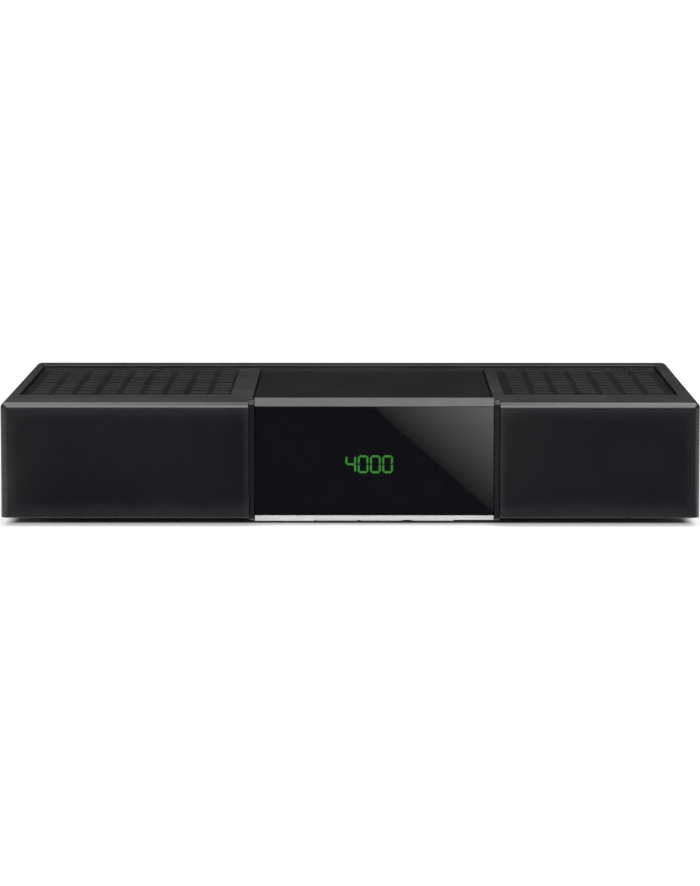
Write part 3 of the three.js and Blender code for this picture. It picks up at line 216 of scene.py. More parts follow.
def spline(points, count, power, overshoot):
    """A curve through points, as places and directions.

    Between two points it is the cubic whose slopes come from the neighbours: with spans that
    grow as the distance to a power, the slope at a point is the sum of the two chords over
    their spans less the long chord over both. Beyond each end stands a ghost point.
    """
    points = np.asarray(points, float)
    before = points[0] - overshoot * (points[1] - points[0])
    after = points[-1] + overshoot * (points[-1] - points[-2])
    line = np.concatenate([[before], points, [after]])
    share = np.linspace(0, len(points) - 1, count)
    piece = np.minimum(share.astype(int), len(points) - 2)
    part = (share - piece)[:, None]
    near = [line[piece + step] for step in range(4)]
    chords = [near[step + 1] - near[step] for step in range(3)]
    spans = [np.linalg.norm(chord, axis=1, keepdims=True) ** power for chord in chords]
    slopes = [
        chords[step] / spans[step]
        - (chords[step] + chords[step + 1]) / (spans[step] + spans[step + 1])
        + chords[step + 1] / spans[step + 1]
        for step in range(2)
    ]
    slope_in, slope_out = (slope * spans[1] for slope in slopes)
    square = 3 * chords[1] - 2 * slope_in - slope_out
    cube = slope_in + slope_out - 2 * chords[1]
    places = near[1] + slope_in * part + square * part**2 + cube * part**3
    heading = slope_in + 2 * square * part + 3 * cube * part**2
    return places, heading / np.maximum(np.linalg.norm(heading, axis=1, keepdims=True), 1e-9)


# Pieces

# Softening: how close points are merged, and angles up to which faces merge and edges stay as they are
MERGE_DISTANCE = 0.002
FLAT_ANGLE = 0.5
BEVEL_ANGLE = 30


def node_box(node):
    """A CAD node's lowest and highest corners, in millimetres."""
    low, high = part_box(node)
    return np.array(low) / MM, np.array(high) / MM


def seat(piece, body, node):
    """Links a piece, lets it ride on its body and hides the CAD node it stands for, if any."""
    bpy.context.scene.collection.objects.link(piece)
    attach(piece, body)
    if node:
        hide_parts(node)


def placed_piece(name, surface, finish, body="case", node=None, sharp=35):
    """Puts points and faces, in millimetres, into a mesh that rides on a body."""
    points, faces = surface
    mesh = bpy.data.meshes.new(name)
    mesh.from_pydata((points * MM).tolist(), [], faces)
    mesh.shade_smooth()
    mesh.set_sharp_from_angle(angle=math.radians(sharp))
    mesh.materials.append(FINISHES[finish])
    piece = bpy.data.objects.new(name, mesh)
    piece.modifiers.new("even_shading", "WEIGHTED_NORMAL").keep_sharp = True
    seat(piece, body, node)


def stand_in(node, name, surface, sharp=35):
    """A piece of the case that stands for a CAD node, in that node's finish."""
    placed_piece(name, surface, SLOTS[node], "case", node, sharp)


def softened(node, name, body, width):
    """A merged copy of a CAD node whose sharp edges are rounded, with weighted normals."""
    mesh = frame["nodes"][node].data.copy()
    mesh.name = name
    shape = bmesh.new()
    shape.from_mesh(mesh)
    bmesh.ops.remove_doubles(shape, verts=shape.verts, dist=MERGE_DISTANCE * MM)
    flat = math.radians(FLAT_ANGLE)
    bmesh.ops.dissolve_limit(shape, angle_limit=flat, verts=shape.verts, edges=shape.edges)
    shape.to_mesh(mesh)
    shape.free()
    mesh.shade_smooth()
    piece = bpy.data.objects.new(name, mesh)
    bevel = piece.modifiers.new("softened_edges", "BEVEL")
    bevel.limit_method = "ANGLE"
    bevel.angle_limit = math.radians(BEVEL_ANGLE)
    bevel.width = width * MM
    bevel.segments = 2
    bevel.use_clamp_overlap = True
    piece.modifiers.new("even_shading", "WEIGHTED_NORMAL").keep_sharp = False
    seat(piece, body, node)


# Node trees


def fill(tree, socket, value):
    """Links a socket, or writes a number, vector or colour into it."""
    if isinstance(value, bpy.types.NodeSocket):
        tree.links.new(value, socket)
    elif isinstance(value, (tuple, list)) and socket.type == "RGBA":
        socket.default_value = (*value[:3], 1)
    else:
        socket.default_value = value


def add(tree, kind, inputs=None, **settings):
    """A shader node with its settings and inputs."""
    made = tree.nodes.new("ShaderNode" + kind)
    for key, value in settings.items():
        setattr(made, key, value)
    for key, value in (inputs or {}).items():
        fill(tree, made.inputs[key], value)
    return made


def sum_of(tree, operation, first, second=0.0, third=0.0):
    """The result of one step of arithmetic."""
    return add(tree, "Math", {0: first, 1: second, 2: third}, operation=operation).outputs[0]


def times(tree, first, *others):
    """The product of two or more numbers."""
    for other in others:
        first = sum_of(tree, "MULTIPLY", first, other)
    return first


def apart(tree, first, second):
    """How far two numbers are apart."""
    return sum_of(tree, "ABSOLUTE", sum_of(tree, "SUBTRACT", first, second))


def vector_of(tree, operation, first, second=(0, 0, 0)):
    """The result of one step of vector arithmetic."""
    return add(tree, "VectorMath", {0: first, 1: second}, operation=operation).outputs[0]


def length_of(tree, vector):
    """The length of a vector."""
    return add(tree, "VectorMath", {0: vector}, operation="LENGTH").outputs["Value"]


def parts_of(tree, vector):
    """The three parts of a vector."""
    return add(tree, "SeparateXYZ", {0: vector}).outputs


def ramped(tree, value, low, high, to_low=0.0, to_high=1.0):
    """A value carried from one range to another in a smooth step, and held at both ends."""
    inputs = {"Value": value, "From Min": low, "From Max": high, "To Min": to_low, "To Max": to_high}
    return add(tree, "MapRange", inputs, interpolation_type="SMOOTHSTEP").outputs["Result"]


def blended(tree, share, first, second):
    """A colour between two colours."""
    made = add(tree, "Mix", {"Factor": share}, data_type="RGBA")
    fill(tree, made.inputs[6], first)
    fill(tree, made.inputs[7], second)
    return made.outputs[2]


def dimmed(colour, share):
    """A share of a colour."""
    return tuple(channel * share for channel in colour)


def noise(tree, place, size, detail=2.0, roughness=0.5):
    """Noise whose blobs are about so many millimetres across; the size is a number or a socket."""
    from_socket = isinstance(size, bpy.types.NodeSocket)
    scale = sum_of(tree, "DIVIDE", 1 / MM, size) if from_socket else 1 / (size * MM)
    inputs = {"Vector": place, "Scale": scale, "Detail": detail, "Roughness": roughness}
    return add(tree, "TexNoise", inputs).outputs[0]


def new_group(name, vectors, numbers, gives):
    """An empty node group with vectors and numbers as inputs and numbers as outputs, and its ends."""
    tree = bpy.data.node_groups.new(name, "ShaderNodeTree")
    rows = [(label, "INPUT", "Vector") for label in vectors]
    rows += [(label, "INPUT", "Float") for label in numbers]
    rows += [(label, "OUTPUT", "Float") for label in gives]
    for label, way, kind in rows:
        tree.interface.new_socket(name=label, in_out=way, socket_type="NodeSocket" + kind)
    start = tree.nodes.new("NodeGroupInput")
    end = tree.nodes.new("NodeGroupOutput")
    return tree, start.outputs, end.inputs


def finished(tree, end, **results):
    """Feeds a group's results to its outputs, and gives the group."""
    for key, value in results.items():
        fill(tree, end[key], value)
    return tree


def grouped(tree, name, place, **inputs):
    """The outputs of a shared group that is placed in a tree with its own values."""
    made = tree.nodes.new("ShaderNodeGroup")
    made.node_tree = GROUPS[name]
    for key, value in dict(inputs, Place=place).items():
        fill(tree, made.inputs[key], value)
    return made.outputs


def moulded_grain_group():
    """Spark grain of a mould: rounded pits between fine noise, and a slow mottle of the gloss."""
    tree, start, end = new_group("moulded_grain", ["Place"], ["Grain"], ["Height", "Mottle"])
    scale = sum_of(tree, "DIVIDE", 1 / MM, start["Grain"])
    cells = add(tree, "TexVoronoi", {"Vector": start["Place"], "Scale": scale}, feature="SMOOTH_F1")
    fine = noise(tree, start["Place"], start["Grain"], 4.0)
    height = sum_of(tree, "MULTIPLY_ADD", fine, 0.6, cells.outputs["Distance"])
    mottle = ramped(tree, noise(tree, start["Place"], 22, 3.0), 0.3, 0.7)
    return finished(tree, end, Height=height, Mottle=mottle)


def edge_rub_group():
    """Where a box's outer edges are rubbed.

    Each axis gives the depth under its nearest face. Near an edge two of the three are small, so
    the middle one of the three is the distance to an edge; noise makes its width uneven.
    """
    tree, start, end = new_group("edge_rub", ["Place", "Middle", "Half"], ["Width", "Uneven"], ["Mask"])
    from_middle = vector_of(tree, "ABSOLUTE", vector_of(tree, "SUBTRACT", start["Place"], start["Middle"]))
    depth = parts_of(tree, vector_of(tree, "SUBTRACT", start["Half"], from_middle))
    lower = sum_of(tree, "MINIMUM", depth[0], depth[1])
    upper = sum_of(tree, "MAXIMUM", depth[0], depth[1])
    middle = sum_of(tree, "MAXIMUM", lower, sum_of(tree, "MINIMUM", upper, depth[2]))
    patchy = ramped(tree, noise(tree, start["Place"], 6, 5.0, 0.65), 0.3, 0.75, -0.85, 0.5)
    width = times(tree, start["Width"], sum_of(tree, "MULTIPLY_ADD", patchy, start["Uneven"], 1.0))
    share = sum_of(tree, "DIVIDE", middle, sum_of(tree, "MAXIMUM", width, 0.00001))
    return finished(tree, end, Mask=ramped(tree, share, 1.0, 0.2))


def settled_dust_group():
    """Dust on faces that look up: specks between soft patches, none on walls."""
    tree, start, end = new_group("settled_dust", ["Place"], ["Amount"], ["Mask", "Upward"])
    facing = parts_of(tree, add(tree, "NewGeometry").outputs["Normal"])[2]
    upward = ramped(tree, facing, 0.75, 0.98)
    patches = ramped(tree, noise(tree, start["Place"], 30, 4.0, 0.6), 0.38, 0.72)
    specks = ramped(tree, noise(tree, start["Place"], 0.5, 2.0), 0.6, 0.78)
    mixed = sum_of(tree, "MULTIPLY_ADD", specks, 0.7, times(tree, patches, 0.3))
    return finished(tree, end, Mask=times(tree, mixed, upward, start["Amount"]), Upward=upward)


def brushing_group():
    """Brush lines of a metal: noise drawn out along one axis, in two sizes, and slow dull clouds."""
    tree, start, end = new_group("brushing", ["Place", "Stretch"], ["Line"], ["Height", "Streak", "Cloud"])
    drawn = vector_of(tree, "MULTIPLY", start["Place"], start["Stretch"])
    fine = noise(tree, drawn, start["Line"], 3.0)
    wide = noise(tree, drawn, times(tree, start["Line"], 5.0), 2.0)
    height = sum_of(tree, "MULTIPLY_ADD", wide, 0.5, fine)
    cloud = ramped(tree, noise(tree, start["Place"], 9, 4.0, 0.6), 0.35, 0.7)
    return finished(tree, end, Height=height, Streak=ramped(tree, height, 0.55, 0.95), Cloud=cloud)


def touch_marks_group():
    """Faint finger smears on gloss: stretched blots broken by a fine swirl."""
    tree, start, end = new_group("touch_marks", ["Place"], [], ["Mask"])
    bent = add(tree, "TexNoise", {"Vector": start["Place"], "Scale": 1 / (14 * MM), "Detail": 1.0})
    shifted = vector_of(tree, "MULTIPLY", bent.outputs["Color"], (0.012, 0.012, 0.012))
    place = vector_of(tree, "ADD", start["Place"], shifted)
    blots = ramped(tree, noise(tree, place, 12, 3.0), 0.5, 0.8)
    ridges = ramped(tree, noise(tree, place, 0.5, 1.0), 0.35, 0.65, 0.4, 1.0)
    return finished(tree, end, Mask=times(tree, blots, ridges))


# Board: pitches of tracks, pads and weave, half a track and a pad's radius as shares of their pitch
TRACK_PITCH = 0.9
TRACK_HALF = 0.2
PAD_PITCH = 3.2
PAD_RADIUS = 0.16
WEAVE_PITCH = 0.5
WEAVE_HEIGHT = 0.15


def board_pattern_group():
    """Copper under a board's lacquer.

    Bands along X and along Y stand in for tracks, each gated by its own slow noise, and the
    near points of a cell pattern are tinned pads; a fine checker of both axes is the weave.
    """
    tree, start, end = new_group("board_pattern", ["Place"], [], ["Tracks", "Pads", "Height"])
    parts = parts_of(tree, start["Place"])[:2]
    turns = [sum_of(tree, "FRACT", sum_of(tree, "DIVIDE", part, TRACK_PITCH * MM)) for part in parts]
    bands = [sum_of(tree, "LESS_THAN", apart(tree, turn, 0.5), TRACK_HALF) for turn in turns]
    gate = noise(tree, start["Place"], 16, 0.0)
    along = times(tree, bands[0], sum_of(tree, "GREATER_THAN", gate, 0.53))
    across = times(tree, bands[1], sum_of(tree, "LESS_THAN", gate, 0.45))
    tracks = sum_of(tree, "MAXIMUM", along, across)
    inputs = {"Vector": start["Place"], "Scale": 1 / (PAD_PITCH * MM), "Randomness": 0.7}
    cells = add(tree, "TexVoronoi", inputs)
    pads = sum_of(tree, "LESS_THAN", cells.outputs["Distance"], PAD_RADIUS)
    waves = [sum_of(tree, "SINE", times(tree, part, FULL_TURN / (WEAVE_PITCH * MM))) for part in parts]
    copper = sum_of(tree, "MAXIMUM", tracks, pads)
    raised = sum_of(tree, "MULTIPLY_ADD", times(tree, *waves), WEAVE_HEIGHT, copper)
    return finished(tree, end, Tracks=tracks, Pads=pads, Height=raised)


# Vent slots: across each field, and from the first row to the last
SLOT_WIDTH = 5.2
SLOT_PITCH = 7.3
SLOT_FIELDS = ((-103.0, -39.4), (52.7, 101.7))
SLOT_ROWS = (-48.0, 51.0)
RIB_EDGE = 0.03


def vent_ribs_group():
    """Where the vent panel's ribs are: inside a field's width, the columns of its slots.

    The place across the field over the pitch leaves a fraction that is below the slot's share
    of the pitch on a column, and both ends of the field are cut off.
    """
    tree, start, end = new_group("vent_ribs", ["Place"], ["Start", "End"], ["Mask"])
    parts = parts_of(tree, start["Place"])
    across = sum_of(tree, "SUBTRACT", parts[0], start["Start"])
    turns = sum_of(tree, "FRACT", sum_of(tree, "DIVIDE", across, SLOT_PITCH * MM))
    width = SLOT_WIDTH / SLOT_PITCH
    column = ramped(tree, turns, width + RIB_EDGE, width - RIB_EDGE)
    limits = (
        sum_of(tree, "GREATER_THAN", across, -0.0001),
        sum_of(tree, "LESS_THAN", parts[0], start["End"]),
        sum_of(tree, "GREATER_THAN", parts[1], SLOT_ROWS[0] * MM),
        sum_of(tree, "LESS_THAN", parts[1], SLOT_ROWS[1] * MM),
    )
    return finished(tree, end, Mask=times(tree, column, *limits))


# Capacitor: its marks as shares of its radius, the room round it, and the score's half widths
CAN_TOP_SHARE = 0.84
CAN_STRIPE_SHARE = 0.8
CAN_ROOM = 0.4
SCORE_HALF = (0.12, 0.3)


def can_marks_group():
    """Marks of one capacitor from its middle and radius, in the plan.

    The stripe lies beyond a chord near the rim on one side; the top is inside a circle a little
    smaller than the can; the vent score is a cross of two narrow bands on that top.
    """
    tree, start, end = new_group("can_marks", ["Place", "Middle"], ["Radius"], ["Stripe", "Top", "Score"])
    away = vector_of(tree, "SUBTRACT", start["Place"], start["Middle"])
    near = length_of(tree, vector_of(tree, "MULTIPLY", away, (1, 1, 0)))
    parts = parts_of(tree, away)
    close = sum_of(tree, "LESS_THAN", near, sum_of(tree, "ADD", start["Radius"], CAN_ROOM * MM))
    beyond = sum_of(tree, "GREATER_THAN", parts[0], times(tree, start["Radius"], CAN_STRIPE_SHARE))
    inner = sum_of(tree, "LESS_THAN", near, times(tree, start["Radius"], CAN_TOP_SHARE))
    off_lines = [sum_of(tree, "ABSOLUTE", part) for part in parts[:2]]
    off_cross = sum_of(tree, "MINIMUM", *off_lines)
    score = times(tree, ramped(tree, off_cross, SCORE_HALF[1] * MM, SCORE_HALF[0] * MM), inner)
    return finished(tree, end, Stripe=times(tree, beyond, close), Top=inner, Score=score)


# Finishes; colours are linear

# How much mottle, wear, dust and brushing change a colour or a roughness
GLOSS_MOTTLE = 0.018
MOTTLE_SHADE = 0.88
RUBBED_SMOOTHER = -0.08
DUST_ROUGHER = 0.4
STREAK_SHARE = 0.35
STREAK_SMOOTHER = -0.06
CLOUD_ROUGHER = 0.08
METAL_ROUGHER = 0.03
WORN_BLACK = (0.03, 0.03, 0.032)
TRAY_BLACK = (0.011, 0.011, 0.012)
FRAME_BLACK = (0.0075, 0.0075, 0.0085)
MODULE_BLACK = (0.008, 0.008, 0.009)
WARM_WHITE = (0.72, 0.7, 0.62)
DUST_GREY = (0.16, 0.155, 0.145)
# Painted edge sheen: a paler colour blended in over this width from the cover's outer edges, a painted
# highlight
COVER_EDGE_SHEEN = (0.034, 0.034, 0.036)
EDGE_SHEEN_WIDTH = 6.5

# Plastics: material, colour, roughness, grain size and grain depth
PLASTICS = {
    "cover_plastic": ("cover_satin", (0.005, 0.005, 0.0052), 0.235, 0.35, 0.003),
    "tray_plastic": ("tray_matt", TRAY_BLACK, 0.5, 0.5, 0.03),
    "frame_plastic": ("frame_satin", FRAME_BLACK, 0.25, 0.34, 0.003),
    "foot_rubber": ("foot_rubber", (0.014, 0.014, 0.015), 0.75, 0.25, 0.03),
    "panel_paint": ("panel_paint", (0.035, 0.035, 0.037), 0.45, 0.5, 0.012),
    "display_black": ("module_black", MODULE_BLACK, 0.3, 0.3, 0.004),
    "plunger_plastic": ("plunger_moulding", TRAY_BLACK, 0.4, 0.2, 0.004),
    "header_plastic": ("header_moulding", WARM_WHITE, 0.42, 0.4, 0.01),
    "insulator_plastic": ("insulator_moulding", WARM_WHITE, 0.4, 0.3, 0.006),
    "socket_plastic": ("socket_moulding", TRAY_BLACK, 0.42, 0.3, 0.01),
    "audio_orange": ("audio_orange", (0.75, 0.2, 0.02), 0.4, 0.3, 0.006),
    "switch_plastic": ("switch_satin", FRAME_BLACK, 0.34, 0.3, 0.008),
    "wire_red": ("wire_sleeve", (0.32, 0.012, 0.012), 0.38, 0.5, 0.01),
    "chip_black": ("chip_moulding", (0.016, 0.016, 0.017), 0.5, 0.2, 0.006),
    "inductor_ferrite": ("inductor_ferrite", (0.05, 0.05, 0.055), 0.6, 0.25, 0.02),
    "rocker_marks": ("rocker_marks", (0.7, 0.7, 0.7), 0.45, 0.3, 0.004),
}
# What wear, dust, gloss and a painted edge sheen add to some of them
WEAR_AND_SHEEN = {
    "cover_plastic": {"node": "top_cover", "dust": 0.1, "gloss": 0.48, "edge_sheen": 0.3, "coarser": 0.055},
    "tray_plastic": {"node": "bottom_tray", "rub": 0.7, "dust": 0.04},
    "frame_plastic": {"dust": 0.02, "gloss": 0.4},
    "foot_rubber": {"gloss": 0.3},
    "panel_paint": {"node": "rear_panel", "rub": 0.35, "rubbed": (0.22, 0.22, 0.22)},
}

# Metals: material, colour, colour where dull, roughness, brushing, size and depth of its lines
EVEN = (1, 1, 1)
ALONG_X = (0.02, 1, 1)
ALONG_Y = (1, 0.02, 1)
TRIM_SILVER = (0.0640, 0.0626, 0.0634)
TRIM_DULL = (0.0513, 0.05, 0.0506)
STRIP_SILVER = (0.527, 0.527, 0.527)
STRIP_DULL = (0.48, 0.48, 0.48)
NICKEL = (0.66, 0.64, 0.6)
NICKEL_DULL = (0.42, 0.4, 0.37)
TIN = (0.55, 0.55, 0.56)
TIN_DULL = (0.45, 0.45, 0.455)
ALUMINIUM_DULL = (0.44, 0.44, 0.45)
METALS = {
    "screw_steel": ("screw_zinc", (0.46, 0.46, 0.47), (0.25, 0.25, 0.255), 0.34, EVEN, 0.08, 0.002),
    "top_trim_silver": ("trim_silver", TRIM_SILVER, TRIM_DULL, 0.34, ALONG_X, 0.1, 0.001),
    "bottom_trim_silver": ("strip_silver", STRIP_SILVER, STRIP_DULL, 0.27, ALONG_X, 0.3, 0.0004),
    "key_silver": ("key_silver", STRIP_SILVER, STRIP_DULL, 0.27, ALONG_X, 0.3, 0.0004),
    "switch_steel": ("switch_cover", TIN, TIN_DULL, 0.3, ALONG_X, 0.08, 0.002),
    "can_steel": ("can_tinplate", TIN, TIN_DULL, 0.3, ALONG_Y, 0.3, 0.003),
    "connector_nickel": ("connector_nickel", NICKEL, NICKEL_DULL, 0.22, ALONG_Y, 0.3, 0.001),
    "socket_steel": ("socket_nickel", NICKEL, NICKEL_DULL, 0.27, ALONG_Y, 0.3, 0.001),
    "contact_gold": ("contact_gold", (0.83, 0.6, 0.26), (0.6, 0.42, 0.17), 0.22, ALONG_Y, 0.1, 0.001),
    "sink_aluminium": ("sink_aluminium", (0.62, 0.62, 0.63), ALUMINIUM_DULL, 0.36, ALONG_Y, 0.15, 0.004),
}


def new_material(name):
    """A material with its shader, and Object coordinates, which are the receiver's own frame."""
    material = bpy.data.materials.new(name)
    material.use_nodes = True
    tree = material.node_tree
    return material, tree, tree.nodes["Principled BSDF"], add(tree, "TexCoord").outputs["Object"]


def surfaced(tree, shader, base, roughness, height, depth):
    """Feeds a shader its colour, roughness and a height whose whole range is so many millimetres."""
    fill(tree, shader.inputs["Base Color"], base)
    fill(tree, shader.inputs["Roughness"], roughness)
    inputs = {"Height": height, "Distance": depth * MM, "Strength": 1.0}
    tree.links.new(add(tree, "Bump", inputs).outputs[0], shader.inputs["Normal"])


def moulded(
    name,
    colour,
    rough,
    grain,
    depth,
    node=None,
    rub=0.5,
    rubbed=WORN_BLACK,
    dust=0.0,
    gloss=0.5,
    edge_sheen=0.0,
    coarser=0.0,
):
    """Moulded plastic: spark grain, mottled gloss, rubbed edges, dust, and a painted edge sheen, paler near
    edges.
    """
    material, tree, shader, place = new_material(name)
    texture = grouped(tree, "grain", place, Grain=grain)
    base = blended(tree, texture["Mottle"], dimmed(colour, MOTTLE_SHADE), colour)
    roughness = ramped(tree, texture["Mottle"], 0.0, 1.0, rough - GLOSS_MOTTLE, rough + GLOSS_MOTTLE)
    if node:
        low, high = node_box(node)
        box = {"Middle": tuple((low + high) / 2 * MM), "Half": tuple((high - low) / 2 * MM)}
        edges = grouped(tree, "rub", place, Width=rub * MM, Uneven=1.0, **box)["Mask"]
        # Painted highlight: a wide band along the outer edges is blended towards the paler sheen colour
        if edge_sheen:
            wide = grouped(tree, "rub", place, Width=EDGE_SHEEN_WIDTH * MM, Uneven=0.25, **box)["Mask"]
            base = blended(tree, times(tree, wide, edge_sheen), base, COVER_EDGE_SHEEN)
        base = blended(tree, edges, base, rubbed)
        roughness = sum_of(tree, "MULTIPLY_ADD", edges, RUBBED_SMOOTHER, roughness)
    if dust:
        settled = grouped(tree, "dust", place, Amount=dust)
        base = blended(tree, settled["Mask"], base, DUST_GREY)
        roughness = sum_of(tree, "MULTIPLY_ADD", settled["Mask"], DUST_ROUGHER, roughness)
        roughness = sum_of(tree, "MULTIPLY_ADD", settled["Upward"], coarser, roughness)
    # Painted highlight on the wings' front face near the window, standing in for light on their inner edges
    if edge_sheen:
        base = blended(tree, wing_end_highlight(tree, place), base, COVER_EDGE_SHEEN)
    surfaced(tree, shader, base, roughness, texture["Height"], depth)
    shader.inputs["Specular IOR Level"].default_value = gloss
    return material


# The wings' painted highlight at their inner ends: its place outside the window, width, strength, and
# depths between which it fades
WING_END_OUTSIDE = 1.7
WING_END_WIDTH = 2.8
WING_END_HIGHLIGHT = 0.31
WING_END_DEPTH = (-72.5, -74.0)


def wing_end_highlight(tree, place):
    """How much painted highlight the wings' front face gets near its two inner ends, beside the window's
    frame.
    """
    low, high = node_box("display_window")
    across, depth = parts_of(tree, place)[:2]
    ends = (low[0] - WING_END_OUTSIDE, high[0] + WING_END_OUTSIDE)
    gaps = [apart(tree, across, float(end) * MM) for end in ends]
    near = sum_of(tree, "MINIMUM", *gaps)
    close = ramped(tree, near, WING_END_WIDTH * MM, 0.0, 0.0, WING_END_HIGHLIGHT)
    return times(tree, close, ramped(tree, depth, WING_END_DEPTH[0] * MM, WING_END_DEPTH[1] * MM))


def metal(name, colour, dull, rough, stretch, line, depth):
    """Drawn, rolled or plated metal: brush lines along one axis and dull clouds."""
    material, tree, shader, place = new_material(name)
    brushed = grouped(tree, "brush", place, Stretch=stretch, Line=line)
    base = blended(tree, brushed["Cloud"], colour, dull)
    base = blended(tree, times(tree, brushed["Streak"], STREAK_SHARE), base, colour)
    lines = sum_of(tree, "MULTIPLY_ADD", brushed["Streak"], STREAK_SMOOTHER, rough + METAL_ROUGHER)
    roughness = sum_of(tree, "MULTIPLY_ADD", brushed["Cloud"], CLOUD_ROUGHER, lines)
    surfaced(tree, shader, base, roughness, brushed["Height"], depth)
    shader.inputs["Metallic"].default_value = 1.0
    return material


VENT_BLACK = (0.005, 0.005, 0.006)
VENT_RIB_HIGHLIGHT = (0.011, 0.011, 0.012)
VENT_ROUGHNESS = 0.17
VENT_MOTTLE = 0.02
RIB_ROUGHER = 0.1


def vent_material():
    """The vent panel: smooth dark plastic whose ribs between the slots are coarser and painted paler, a
    painted highlight.
    """
    material, tree, shader, place = new_material("vent_panel_satin")
    texture = grouped(tree, "grain", place, Grain=0.3)
    ribs = 0.0
    for start, end in SLOT_FIELDS:
        mask = grouped(tree, "ribs", place, Start=start * MM, End=end * MM)["Mask"]
        ribs = sum_of(tree, "ADD", ribs, mask)
    base = blended(tree, texture["Mottle"], dimmed(VENT_BLACK, 0.85), VENT_BLACK)
    # Painted highlight: the ribs are paler to stand in for the light their edges catch
    base = blended(tree, ribs, base, VENT_RIB_HIGHLIGHT)
    lying = grouped(tree, "dust", place, Amount=0.02)["Mask"]
    span = (VENT_ROUGHNESS - VENT_MOTTLE, VENT_ROUGHNESS + VENT_MOTTLE)
    between = ramped(tree, texture["Mottle"], 0.0, 1.0, *span)
    roughness = sum_of(tree, "MULTIPLY_ADD", ribs, RIB_ROUGHER, between)
    surfaced(tree, shader, blended(tree, lying, base, DUST_GREY), roughness, texture["Height"], 0.004)
    shader.inputs["Specular IOR Level"].default_value = 0.35
    return material


WINDOW_SMOKE = (0.02, 0.02, 0.024)
WINDOW_INDEX = 1.585


def window_material():
    """Smoked clear plastic, polished, with faint smears that only change its gloss."""
    material, tree, shader, place = new_material("window_smoke")
    smear = grouped(tree, "touch", place)["Mask"]
    tint = ramped(tree, noise(tree, place, 18, 1.0), 0.3, 0.7)
    base = blended(tree, tint, dimmed(WINDOW_SMOKE, 0.9), WINDOW_SMOKE)
    surfaced(tree, shader, base, times(tree, smear, 0.05), noise(tree, place, 30, 1.0), 0.002)
    shader.inputs["Transmission Weight"].default_value = 1.0
    shader.inputs["IOR"].default_value = WINDOW_INDEX
    return material


DIGIT_GREEN = (0.165, 1.0, 0.1)
DIGIT_CORE = (0.05, 0.3, 0.05)
DIGIT_STRENGTH = 12.8


def digit_material():
    """Green light from the lit bars, a little uneven as through a diffuser."""
    material, tree, shader, place = new_material("digit_glow")
    grainy = ramped(tree, noise(tree, place, 0.4, 2.0), 0.25, 0.75, 0.75, 1.0)
    fill(tree, shader.inputs["Base Color"], blended(tree, grainy, MODULE_BLACK, DIGIT_CORE))
    glow = blended(tree, grainy, dimmed(DIGIT_GREEN, 0.7), DIGIT_GREEN)
    fill(tree, shader.inputs["Emission Color"], glow)
    shader.inputs["Emission Strength"].default_value = DIGIT_STRENGTH
    shader.inputs["Roughness"].default_value = 0.4
    return material


BOARD_GREEN = (0.008, 0.05, 0.02)
BOARD_TRACK = (0.016, 0.095, 0.036)
BOARD_PAD = (0.5, 0.47, 0.38)


def board_material():
    """Lacquered circuit board: woven glass under green, tracks raised a little, tinned pads."""
    material, tree, shader, place = new_material("board_lacquer")
    pattern = grouped(tree, "board", place)
    base = blended(tree, pattern["Tracks"], BOARD_GREEN, BOARD_TRACK)
    base = blended(tree, pattern["Pads"], base, BOARD_PAD)
    roughness = ramped(tree, noise(tree, place, 5), 0.3, 0.7, 0.32, 0.45)
    surfaced(tree, shader, base, roughness, pattern["Height"], 0.035)
    fill(tree, shader.inputs["Metallic"], times(tree, pattern["Pads"], 0.8))
    return material


CABLE_WHITE = (0.66, 0.66, 0.63)
CABLE_CONDUCTOR = (0.4, 0.4, 0.38)
RIBBON_PITCH = 1.0


def ribbon_material():
    """Flat cable: white jacket with the conductors showing through as duller lines."""
    material, tree, shader, place = new_material("ribbon_jacket")
    across = parts_of(tree, place)[0]
    turns = sum_of(tree, "FRACT", sum_of(tree, "DIVIDE", across, RIBBON_PITCH * MM))
    line = ramped(tree, apart(tree, turns, 0.5), 0.12, 0.3)
    texture = grouped(tree, "grain", place, Grain=0.4)
    base = blended(tree, line, CABLE_CONDUCTOR, CABLE_WHITE)
    base = blended(tree, times(tree, texture["Mottle"], 0.4), base, dimmed(CABLE_WHITE, 0.85))
    surfaced(tree, shader, base, ramped(tree, line, 0.0, 1.0, 0.35, 0.5), texture["Height"], 0.01)
    return material


SLEEVE_BLUE = (0.012, 0.016, 0.035)
SLEEVE_STRIPE = (0.42, 0.43, 0.45)
SCORE_HEIGHT = -8.0
CAN_SIZES = ("large", "medium", "small")


def sleeve_material():
    """Capacitor sleeve: dark film with the pale stripe of the minus side, and a bare scored top."""
    material, tree, shader, place = new_material("capacitor_sleeve")
    stripe = top = score = 0.0
    for size in CAN_SIZES:
        low, high = node_box("capacitor_" + size)
        middle = tuple((low + high)[:2] / 2 * MM) + (0,)
        marks = grouped(tree, "can", place, Middle=middle, Radius=(high[0] - low[0]) / 2 * MM)
        stripe = sum_of(tree, "ADD", stripe, marks["Stripe"])
        top = sum_of(tree, "ADD", top, marks["Top"])
        score = sum_of(tree, "ADD", score, marks["Score"])
    base = blended(tree, stripe, SLEEVE_BLUE, SLEEVE_STRIPE)
    texture = grouped(tree, "grain", place, Grain=0.9)
    height = sum_of(tree, "MULTIPLY_ADD", score, SCORE_HEIGHT, texture["Height"])
    roughness = ramped(tree, texture["Mottle"], 0.0, 1.0, 0.28, 0.42)
    surfaced(tree, shader, blended(tree, top, base, ALUMINIUM_DULL), roughness, height, 0.01)
    fill(tree, shader.inputs["Metallic"], top)
    return material


# Studio; a strength of 1 is white

FLOOR_WHITE = (0.86, 0.86, 0.86)
FLOOR_LIFT = 0.46
FLOOR_NEAR = 260
FLOOR_FAR = 700
FLOOR_REACH = 30000
